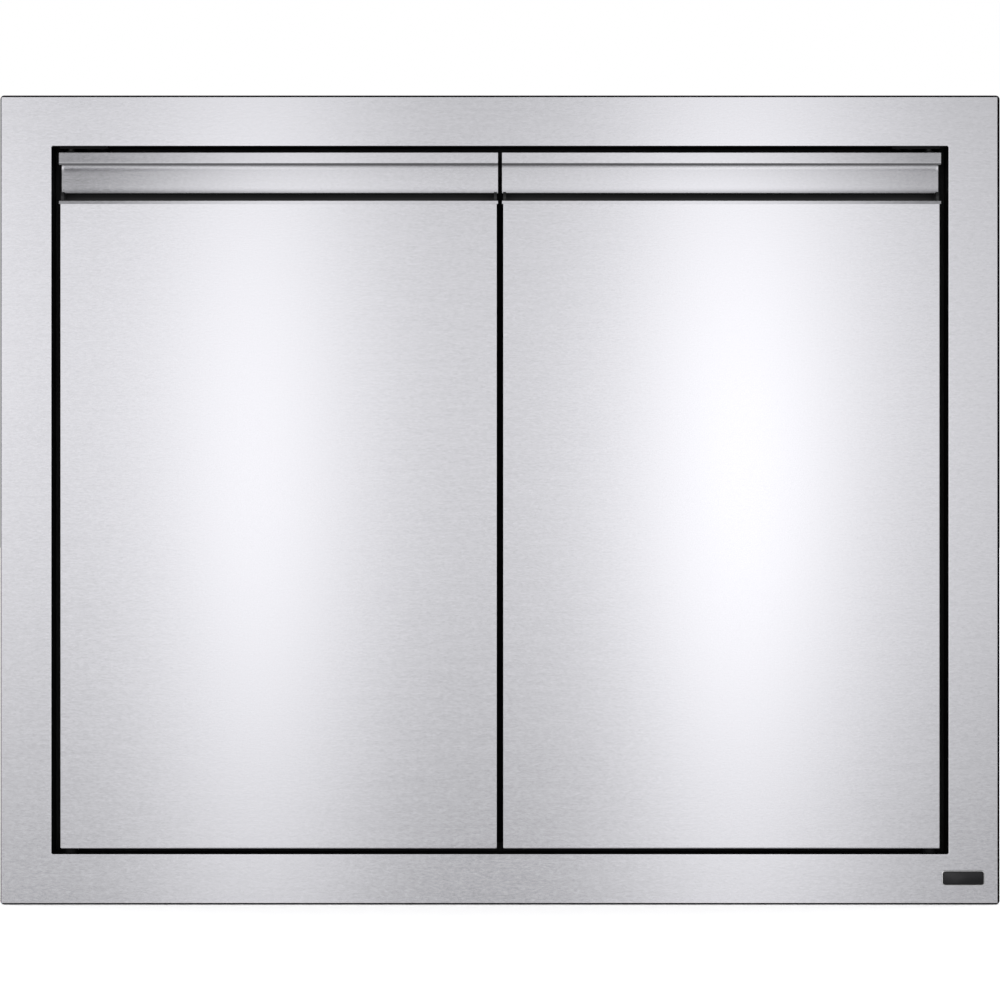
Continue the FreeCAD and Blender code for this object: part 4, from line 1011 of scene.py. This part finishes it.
@dataclass(frozen=True)
class BlindRivets(FastenerSet):
    """Blind rivets: a domed flange with its broken mandrel in the middle, and a set tail.

    The stub's and the tail's points are shares of their radius and of their height.
    """

    smooth_angle: ClassVar[float] = 35.0
    shank_radius: float = 2.0 * MM
    hole_radius: float = 1.15 * MM
    hole_chamfer: float = 0.12 * MM
    stub_radius: float = 0.9 * MM
    stub_below: float = 0.35 * MM
    stub: tuple[Pair, ...] = ((0.2, 1.0), (0.8, 1.1), (1.0, 1.4), (1.0, 3.0))
    rim_height: float = 0.15 * MM
    dome_from: float = 68.0
    dome_steps: int = 9
    tail_height: float = 1.1 * MM
    tail_radius: float = 2.8 * MM
    tail: tuple[Pair, ...] = ((1.0, 0.85), (1.0, 0.3), (0.8, 0.0), (0.45, 0.0), (0.4, 0.2))
    count: int = 28

    def rings(self, fastener: Fastener) -> list[Ring]:
        """Rings of one rivet.

        Args:
            fastener: Where it lies and how large it is.

        Returns:
            The rings, from the mandrel's end in the head to the end of the tail.
        """
        top, end, radius = fastener.head_height, -fastener.length, fastener.head_radius
        stub = [(share * self.stub_radius, top - below * self.stub_below)
                for share, below in self.stub]
        hole = [(self.hole_radius, stub[-1][1]), (self.hole_radius, top - self.hole_chamfer)]
        dome = arc((0.0, self.rim_height), (radius, top - self.rim_height), self.dome_from, 0.0,
                   self.dome_steps)
        shank = [(radius, 0.0), (self.shank_radius, 0.0),
                 (self.shank_radius, end + self.tail_height)]
        tail = [(share * self.tail_radius, end + rise * self.tail_height)
                for share, rise in self.tail]
        return fastener.axis.turned(stub + hole + dome + shank + tail, self.count)


@dataclass(frozen=True)
class Screws(FastenerSet):
    """Screws with a recess in the head, and ridges on the shank that stand for a thread.

    The thread starts at one height under a cone and another under a flat seat. A ridge's
    points are shares of the pitch.
    """

    smooth_angle: ClassVar[float] = 30.0
    drive: Drive
    recess_radius: float
    recess_depth: float
    shank_radius: float
    countersunk: bool
    recess_chamfer: float = 0.1 * MM
    recess_shares: tuple[float, ...] = (0.25, 0.82, 0.97, 1.05)
    rim_width: float = 0.15 * MM
    rim_height: float = 0.12 * MM
    crown_radius: float = 0.9 * MM
    crown_steps: int = 6
    pitch: float = 0.7 * MM
    thread_depth: float = 0.28 * MM
    thread_start: Pair = (-0.4 * MM, -0.3 * MM)
    ridge: tuple[float, ...] = (0.0, 0.12, 0.5, 0.62)
    point: Pair = (0.4 * MM, 0.5 * MM)
    plain_end: float = 0.6 * MM
    count: int = 48

    def head(self, fastener: Fastener) -> list[Pair]:
        """Radius and height pairs of the head, from its flat top to the shank.

        Args:
            fastener: Where the screw lies and how large it is.

        Returns:
            The pairs.
        """
        top, radius, corner = fastener.head_height, fastener.head_radius, self.crown_radius
        if self.countersunk:
            return [(radius - self.rim_width, top), (radius, top - self.rim_height),
                    (self.shank_radius, top - self.rim_height - (radius - self.shank_radius))]
        crown = arc((radius - corner, top - corner), (corner, corner), 90.0, 0.0, self.crown_steps)
        return crown + [(radius, 0.0), (self.shank_radius, 0.0)]

    def thread(self, fastener: Fastener) -> list[Pair]:
        """Radius and height pairs of the shank, from the head to the tip.

        Args:
            fastener: Where the screw lies and how large it is.

        Returns:
            The pairs.
        """
        under_cone, under_flat = self.thread_start
        height, end = under_flat, -fastener.length
        if self.countersunk:
            cone = fastener.head_radius - self.shank_radius
            height = fastener.head_height + under_cone - cone
        root = self.shank_radius - self.thread_depth
        pairs: list[Pair] = []
        while height - self.pitch > end + self.plain_end:
            radii = (self.shank_radius, self.shank_radius, root, root)
            pairs += [(r, height - share * self.pitch) for r, share in zip(radii, self.ridge)]
            height -= self.pitch
        return pairs + [(root, end + self.point[1]), (root - self.point[0], end)]

    def rings(self, fastener: Fastener) -> list[Ring]:
        """Rings of one screw.

        Args:
            fastener: Where it lies and how large it is.

        Returns:
            The rings, from the recess's floor to the tip.
        """
        axis, top = fastener.axis, fastener.head_height
        floor = top - self.recess_depth
        heights = (floor, floor, top - self.recess_chamfer, top)
        recess = [axis.ring(height, lambda a, s=share: self.drive.radius(a, self.recess_radius) * s,
                            self.count)
                  for height, share in zip(heights, self.recess_shares)]
        return recess + axis.turned(self.head(fastener) + self.thread(fastener), self.count)


@dataclass(frozen=True)
class FrameAssembly:
    """The face frame and the black collar behind it."""

    collar: tuple[str, ...] = ("jamb_left", "jamb_right", "head_channel", "sill_channel")

    def build(self) -> None:
        """Dresses the frame and the collar, and builds their rivets."""
        dress(FRAME_STEEL, "face_frame")
        dress(BLACK_COAT, *self.collar)
        BlindRivets().build("frame_rivet_set", "frame_rivets", BLACK_OXIDE, "frame", "black_oxide")


@dataclass(frozen=True)
class StopAssembly:
    """The angles that the doors close on, and the bulb seal on them."""

    stops: tuple[str, ...] = ("stop_left", "stop_right", "stop_head", "stop_sill")
    base_height: float = 0.9 * MM
    base_side: float = 0.7
    base_chamfer: float = 0.3 * MM
    bulb_width: float = 4.6 * MM
    bulb_arc: Pair = (-50.0, 230.0)
    bulb_steps: int = 22
    corner_radius: float = 7.0 * MM
    corner_steps: int = 8

    def profile(self, width: float, height: float) -> list[Pair]:
        """Section of the bulb seal.

        Args:
            width: Width of its foot.
            height: Height from the stop to the top of the bulb.

        Returns:
            Closed outline, as pairs of distance inwards and height over the stop.
        """
        rise = (height - self.base_height) / 2.0
        bulb = arc((width / 2.0, height - rise), (self.bulb_width / 2.0, rise), *self.bulb_arc,
                   self.bulb_steps)
        chamfer, side = self.base_chamfer, self.base_height * self.base_side
        return [(width, 0.0), (width, side), (width - chamfer, self.base_height), *bulb,
                (chamfer, self.base_height), (0.0, side), (0.0, 0.0)]

    @staticmethod
    def gasket_width() -> float:
        """Width of the seal's foot, read from its solid halfway up.

        Returns:
            The width.
        """
        points = islands("door_gasket")[0]
        half = np.abs(points[:, 0])
        flat = half[np.abs(points[:, 2]) < half.min()]
        return float(flat.max() - flat.min())

    def gasket(self) -> None:
        """Builds the bulb seal, which runs round all four stops."""
        low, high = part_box("door_gasket")
        outline = self.profile(self.gasket_width(), high.y - low.y)
        rings = []
        for x, z, start in corner_bends(low, high, self.corner_radius):
            for step in range(self.corner_steps + 1):
                angle = math.radians(start) + QUARTER_TURN * step / self.corner_steps
                out = Vector((math.cos(angle), 0.0, math.sin(angle)))
                rings.append([Vector((x, high.y - rise, z)) + out * (self.corner_radius - inwards)
                              for inwards, rise in outline])
        surface = Surface()
        surface.skin(rings, loop=True)
        piece = surface.piece("gasket_bulb_seal", [BLACK_RUBBER], smooth_angle=50.0)
        place(piece, "frame", "door_gasket")

    def build(self) -> None:
        """Dresses the stops and builds the seal."""
        dress(BLACK_COAT, *self.stops)
        self.gasket()


@dataclass(frozen=True)
class PivotAssembly:
    """Plates, pins and bushings that the doors hang on."""

    def build(self) -> None:
        """Dresses the fixed half of the pivots."""
        # the upper plates sit in the top gap and wear the black coat with painted shade
        dress(GAP_SHADE_COAT, "upper_pivot_plates")
        dress(BLACK_OXIDE, "upper_pivot_pins")
        dress(ZINC, "lower_pivot_plates")
        dress(BLACK_NYLON, "lower_pivot_bushings")


@dataclass(frozen=True)
class CatchAssembly:
    """The double magnetic catch under the head."""

    screws: Screws = Screws(Drive.CROSS, 1.9 * MM, 1.3 * MM, 1.75 * MM, countersunk=False)

    def build(self) -> None:
        """Dresses the catch and builds its screws."""
        dress(BLACK_NYLON, "catch_housing")
        dress(FERRITE, "catch_magnets")
        dress(BRIGHT_STEEL, "catch_pole_plates")
        dress(BLACK_COAT, "catch_bracket")
        self.screws.build("catch_screw_set", "catch_screws", BRIGHT_STEEL, "frame", "bright_steel")


@dataclass(frozen=True)
class BlankPlate:
    """A blank plate with a bright raised rim round a dark field.

    Its levels, in millimetres, are distances inwards from its edge and back from its front.
    """

    corner_radius: float = 2.9 * MM
    corner_steps: int = 10
    levels: tuple[Pair, ...] = ((0.0, 0.35), (0.105, 0.105), (0.35, 0.0), (0.75, 0.0),
                                (0.85, 0.25), (1.55, 0.25), (1.85, 0.2))
    bands: tuple[int, ...] = (0, 0, 0, 0, 0, 1, 1)

    def outline(self, low: Vector, high: Vector, inset: float, y: float) -> Ring:
        """Outline with round corners.

        Args:
            low: Lowest corner of the plate's space.
            high: Highest corner of it.
            inset: Distance inwards from the plate's edge.
            y: Where the outline lies.

        Returns:
            Its points in order.
        """
        radii = (self.corner_radius - inset,) * 2
        return [Vector((px, y, pz))
                for x, z, start in corner_bends(low, high, self.corner_radius)
                for px, pz in arc((x, z), radii, start, start + 90.0, self.corner_steps)]

    def build(self) -> None:
        """Builds the plate."""
        low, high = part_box("badge_plate")
        levels = [(0.0, high.y)] + [(inset * MM, low.y + back * MM) for inset, back in self.levels]
        surface = Surface()
        surface.skin([self.outline(low, high, *level) for level in levels], self.bands)
        piece = surface.piece("blank_plate", [PLATE_RIM, PLATE_ENAMEL], smooth_angle=30.0)
        place(piece, "frame", "badge_plate")


@dataclass(frozen=True)
class DoorAssembly:
    """One door: folded top rail, skin, liner and what they carry.

    A fin's start and lean, and a bumper's foot, are shares of the depth of their solid.
    """

    side: Side
    finishes: tuple[tuple[str, Finish], ...] = (
        ("top_rail", RAIL_STEEL), ("recess_back", WALL_STEEL), ("cap_strip", CAP_STEEL),
        ("door_skin", FACE_STEEL), ("finger_pocket", POCKET_NYLON), ("door_liner", BACK_STEEL),
        ("stiffener", ZINC), ("end_caps", BLACK_NYLON), ("hinge_block", ZINC),
        ("pivot_bushings", BLACK_NYLON), ("lower_bracket", ZINC), ("strike_plate", ZINC))
    screws: Screws = Screws(Drive.HEXAGON, 1.5 * MM, 1.2 * MM, 2.0 * MM, countersunk=True)
    seal_base: float = 0.7 * MM
    seal_top_reach: float = 3.0 * MM
    seal_end: float = 0.3 * MM
    fins: tuple[Pair, ...] = ((0.22, -0.18), (0.62, 0.2))
    fin_thickness: float = 0.45 * MM
    fin_taper: float = 0.1
    fin_tip: float = 0.1 * MM
    fin_stations: tuple[float, ...] = (0.0, 0.35, 0.7, 1.0)
    bumper_foot: float = 0.25
    bumper_edge: tuple[Pair, ...] = ((0.98, 0.0), (1.0, 0.35), (1.0, 0.75), (0.96, 1.0))
    dome_width: float = 0.86
    dome_arc: Pair = (0.0, 86.0)
    dome_steps: int = 12
    bumper_points: int = 40

    def body(self) -> str:
        """The door's body."""
        return self.side.named("door")

    def fin(self, reach: float, start: float, lean: float) -> list[Pair]:
        """Outline of one curved fin of the meeting seal.

        Args:
            reach: Distance from the door's edge to the fin's tip.
            start: Depth at which it starts.
            lean: How far it curves backwards up to its tip.

        Returns:
            Pairs of reach and depth, out along one face and back along the other.
        """
        out = [(self.seal_base + (reach - self.seal_base) * t, start + lean * t * t)
               for t in self.fin_stations]
        back = [(a, d + self.fin_thickness * (1.0 - self.fin_taper * i))
                for i, (a, d) in enumerate(out)]
        back[-1] = (back[-1][0] - self.fin_tip, back[-1][1])
        return out + back[::-1]

    def meeting_seal(self) -> None:
        """Builds the strip with two soft fins that close the gap between the doors."""
        node = self.side.named("meeting_seal")
        low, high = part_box(node)
        way = self.side.towards_centre()
        root = low.x if way > 0 else high.x
        depth, foot = high.y - low.y, self.seal_base
        near, far = (self.fin(-way * root, start * depth, lean * depth)
                     for start, lean in self.fins)
        outline = [(0.0, 0.0), (foot, 0.0), *near, *far, (foot, depth), (0.0, depth)][::way]
        top = high.z + self.seal_top_reach
        heights = (low.z, low.z + self.seal_end, top - self.seal_end, top)
        surface = Surface()
        surface.skin([[Vector((root + way * a, low.y + d, z)) for a, d in outline]
                      for z in heights])
        name = self.side.named("meeting_fins")
        piece = surface.piece(name, [BLACK_RUBBER], smooth_angle=35.0)
        place(piece, self.body(), node)

    def bumpers(self) -> None:
        """Builds the domed rubber buttons on the back, near the free edge."""
        node = self.side.named("bumpers")
        surface = Surface()
        for points in islands(node):
            low, high = points.min(axis=0), points.max(axis=0)
            middle = (low + high) / 2.0
            radius, height = (high[0] - low[0]) / 2.0, high[1] - low[1]
            foot = self.bumper_foot * height
            edge = [(share * radius, rise * foot) for share, rise in self.bumper_edge]
            dome = arc((0.0, foot), (self.dome_width * radius, height - foot), *self.dome_arc,
                       self.dome_steps)
            axis = Axis(Vector((middle[0], low[1], middle[2])), Vector((0.0, 1.0, 0.0)))
            surface.skin(axis.turned(edge + dome, self.bumper_points))
        name = self.side.named("bumper_buttons")
        piece = surface.piece(name, [BLACK_RUBBER], smooth_angle=45.0)
        place(piece, self.body(), node)

    def build(self) -> None:
        """Dresses the door and builds its small parts."""
        for name, finish in self.finishes:
            dress(finish, self.side.named(name))
        self.meeting_seal()
        self.bumpers()
        BlindRivets().build(self.side.named("rivet_set"), self.side.named("door_rivets"),
                            BRIGHT_STEEL, self.body(), "bright_steel")
        self.screws.build(self.side.named("hinge_screw_set"), self.side.named("hinge_screws"),
                          BLACK_OXIDE, self.body(), "black_oxide")


@dataclass(frozen=True)
class ReleasePin:
    """The sprung pin that lets a door lift off."""

    side: Side
    wire: float = 1.0 * MM
    turns: int = 9
    end_turns: int = 1
    end_pitch: float = 1.6 * MM
    steps_per_turn: int = 28
    wire_steps: int = 10

    def heights(self, low: float, high: float) -> list[float]:
        """Height of the wire's centre at each step, closer together at both ends.

        Args:
            low: First height.
            high: Last height.

        Returns:
            The heights, from the first to the last.
        """
        steps = self.turns * self.steps_per_turn
        end_steps = self.end_turns * self.steps_per_turn
        end_rise = self.end_pitch / self.steps_per_turn
        rise = (high - low - 2.0 * end_steps * end_rise) / (steps - 2 * end_steps)
        heights = [low]
        for i in range(steps):
            at_end = i < end_steps or i >= steps - end_steps
            heights.append(heights[-1] + (end_rise if at_end else rise))
        return heights

    def coil(self) -> None:
        """Builds the spring as one round wire between the door and the pin."""
        node, door, pin = (self.side.named(name) for name in ("pin_spring", "door", "pin"))
        low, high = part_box(node)
        middle = (low + high) / 2.0
        half = self.wire / 2.0
        radius = (high.y - low.y) / 2.0 - half
        round_wire = [FULL_TURN * k / self.wire_steps for k in range(self.wire_steps)]
        rings = []
        for i, z in enumerate(self.heights(low.z + half, high.z - half)):
            angle = FULL_TURN * i / self.steps_per_turn
            out = Vector((math.cos(angle), math.sin(angle), 0.0))
            centre = Vector((middle.x, middle.y, z)) + out * radius
            rings.append([centre + out * half * math.cos(a)
                          + Vector((0.0, 0.0, half * math.sin(a))) for a in round_wire])
        surface = Surface()
        surface.skin(rings)
        name = self.side.named("spring_coil")
        piece = surface.piece(name, [SPRING_STEEL], smooth_angle=60.0)
        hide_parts(node)
        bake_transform(piece)
        LOG.info("%s bends between %s and %s", piece.name, door, pin)

    def build(self) -> None:
        """Dresses the pin and its lever, and builds its spring."""
        dress(BRIGHT_STEEL, self.side.named("release_pin"))
        dress(ZINC, self.side.named("release_lever"))
        self.coil()


@dataclass(frozen=True)
class SoftPatch:
    """A soft bright patch in front, placed by its slope from the middle of the view."""

    strength: float
    across: float
    half_width: float


@dataclass(frozen=True)
class Flag:
    """A dark part of the room: where it lies, and what share of the light it takes."""

    span: Pair
    share: float


@dataclass(frozen=True)
class Studio:
    """Floor, light and camera.

    The bright parts of the room are placed by slopes from the middle of the view, the dark
    ones by directions, and the floor has one shade for light and one for the camera.
    """

    camera_distance: float = 2.0
    sensor: float = 36.0
    floor_size: float = 30.0
    floor_drop: float = 0.1 * MM
    floor_shades: Pair = (0.8, 1.6)
    floor_roughness: float = 0.9
    plain: float = 1.0
    nearest_slope: float = 0.05
    base: float = 0.916
    base_fall: Pair = (0.077, 0.41)
    base_loss: float = 0.854
    patches: tuple[SoftPatch, ...] = (SoftPatch(1.029, -0.102, 0.043),
                                      SoftPatch(1.185, 0.101, 0.052))
    patch_hill: Pair = (-0.11, 0.34)
    side_glow: SoftPatch = SoftPatch(1.25, -0.36, 0.12)
    side_hill: Pair = (0.12, 0.17)
    side_floor: float = 0.4
    low_hill: Pair = (-0.218, 0.134)
    low_depth: float = 0.55
    ceiling: Flag = Flag((0.45, 0.65), 0.9)
    dark_band: Flag = Flag((-0.47, 0.15), 0.85)
    right_wall: Flag = Flag((0.55, 0.8), 0.8)
    left_wall: Flag = Flag((-0.75, -0.95), 0.7)

    def floor(self) -> None:
        """A pale floor under the frame, white where the camera looks."""
        half = self.floor_size / 2.0
        low = CAD_BOX[0][2] - self.floor_drop
        mesh = bpy.data.meshes.new("floor")
        mesh.from_pydata([(-half, -half, low), (half, -half, low), (half, half, low),
                          (-half, half, low)], [], [(0, 1, 2, 3)])
        floor = in_scene("floor", mesh)
        g = SurfaceGraph("pale_floor")
        rays = g.add("LightPath").outputs
        seen = g.maths("MAXIMUM", rays["Is Camera Ray"], rays["Is Transmission Ray"])
        value = g.ranged(seen, (0.0, 1.0), self.floor_shades)
        g.dress(Base_Color=g.join(value, value, value), Roughness=self.floor_roughness,
                Specular_IOR_Level=0.0)
        mesh.materials.append(g.material)
        floor.visible_glossy = False

    def front_glow(self, g: Graph, across: Socket, up: Socket) -> Socket:
        """Light of the room in front of the door.

        Args:
            g: The world's nodes.
            across: Slope to the right.
            up: Slope upwards.

        Returns:
            The light's strength.
        """
        glow = g.ranged(up, self.base_fall, (self.base, self.base * (1.0 - self.base_loss)),
                        smooth=True)
        height = g.hill(up, *self.patch_hill)
        rise = g.fused(g.hill(up, *self.side_hill), 1.0 - self.side_floor, self.side_floor)
        patches = [(patch, height) for patch in self.patches] + [(self.side_glow, rise)]
        for patch, tall in patches:
            spot = g.times(g.hill(across, patch.across, patch.half_width), tall)
            glow = g.fused(spot, patch.strength, glow)
        dip = g.times(g.hill(up, *self.low_hill), self.low_depth)
        return g.times(glow, g.maths("SUBTRACT", 1.0, dip))

    def world(self) -> None:
        """Plain light for matt surfaces, and for glossy ones a room with soft patches."""
        world = bpy.data.worlds.new("studio")
        bpy.context.scene.world = world
        world.use_nodes = True
        g = Graph(world.node_tree)
        x, y, z = g.split(g.add("TexCoord").outputs["Generated"])
        ahead = g.maths("MAXIMUM", g.times(y, -1.0), self.nearest_slope)
        glow = self.front_glow(g, g.maths("DIVIDE", x, ahead), g.maths("DIVIDE", z, ahead))
        front = g.maths("LESS_THAN", y, 0.0)
        glow = g.maths("ADD", g.times(glow, front), g.maths("SUBTRACT", 1.0, front))
        for dark, flag in ((g.ranged(z, self.ceiling.span, smooth=True), self.ceiling),
                           (g.hill(z, *self.dark_band.span), self.dark_band),
                           (g.ranged(x, self.right_wall.span, smooth=True), self.right_wall),
                           (g.ranged(x, self.left_wall.span, smooth=True), self.left_wall)):
            glow = g.times(glow, g.fused(dark, -flag.share, 1.0))
        glossy = g.add("LightPath").outputs["Is Glossy Ray"]
        plain = g.times(g.maths("SUBTRACT", 1.0, glossy), self.plain)
        background = g.add("Background", (1.0, 1.0, 1.0, 1.0), g.fused(glossy, glow, plain))
        g.add("OutputWorld", background.outputs[0])

    def camera(self) -> None:
        """A camera square to the front, as wide as the frame."""
        low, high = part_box("face_frame")
        data = bpy.data.cameras.new("camera")
        data.sensor_fit = "HORIZONTAL"
        data.sensor_width = self.sensor
        data.lens = self.sensor * self.camera_distance / (high.x - low.x)
        camera = in_scene("camera", data)
        camera.location = (0.0, low.y - self.camera_distance, 0.0)
        camera.rotation_euler = (QUARTER_TURN, 0.0, 0.0)
        bpy.context.scene.camera = camera

    def build(self) -> None:
        """Builds the studio round the object."""
        self.floor()
        self.world()
        self.camera()
        bpy.context.scene.view_settings.view_transform = "Standard"
        LOG.info("studio is ready")


def main() -> None:
    """Builds the looks of the door, one sub-assembly after another."""
    logging.basicConfig(level=logging.INFO, format="%(name)s: %(message)s")
    Studio().build()
    FrameAssembly().build()
    StopAssembly().build()
    PivotAssembly().build()
    CatchAssembly().build()
    BlankPlate().build()
    for side in Side:
        DoorAssembly(side).build()
        ReleasePin(side).build()


if __name__ == "__main__":
    main()
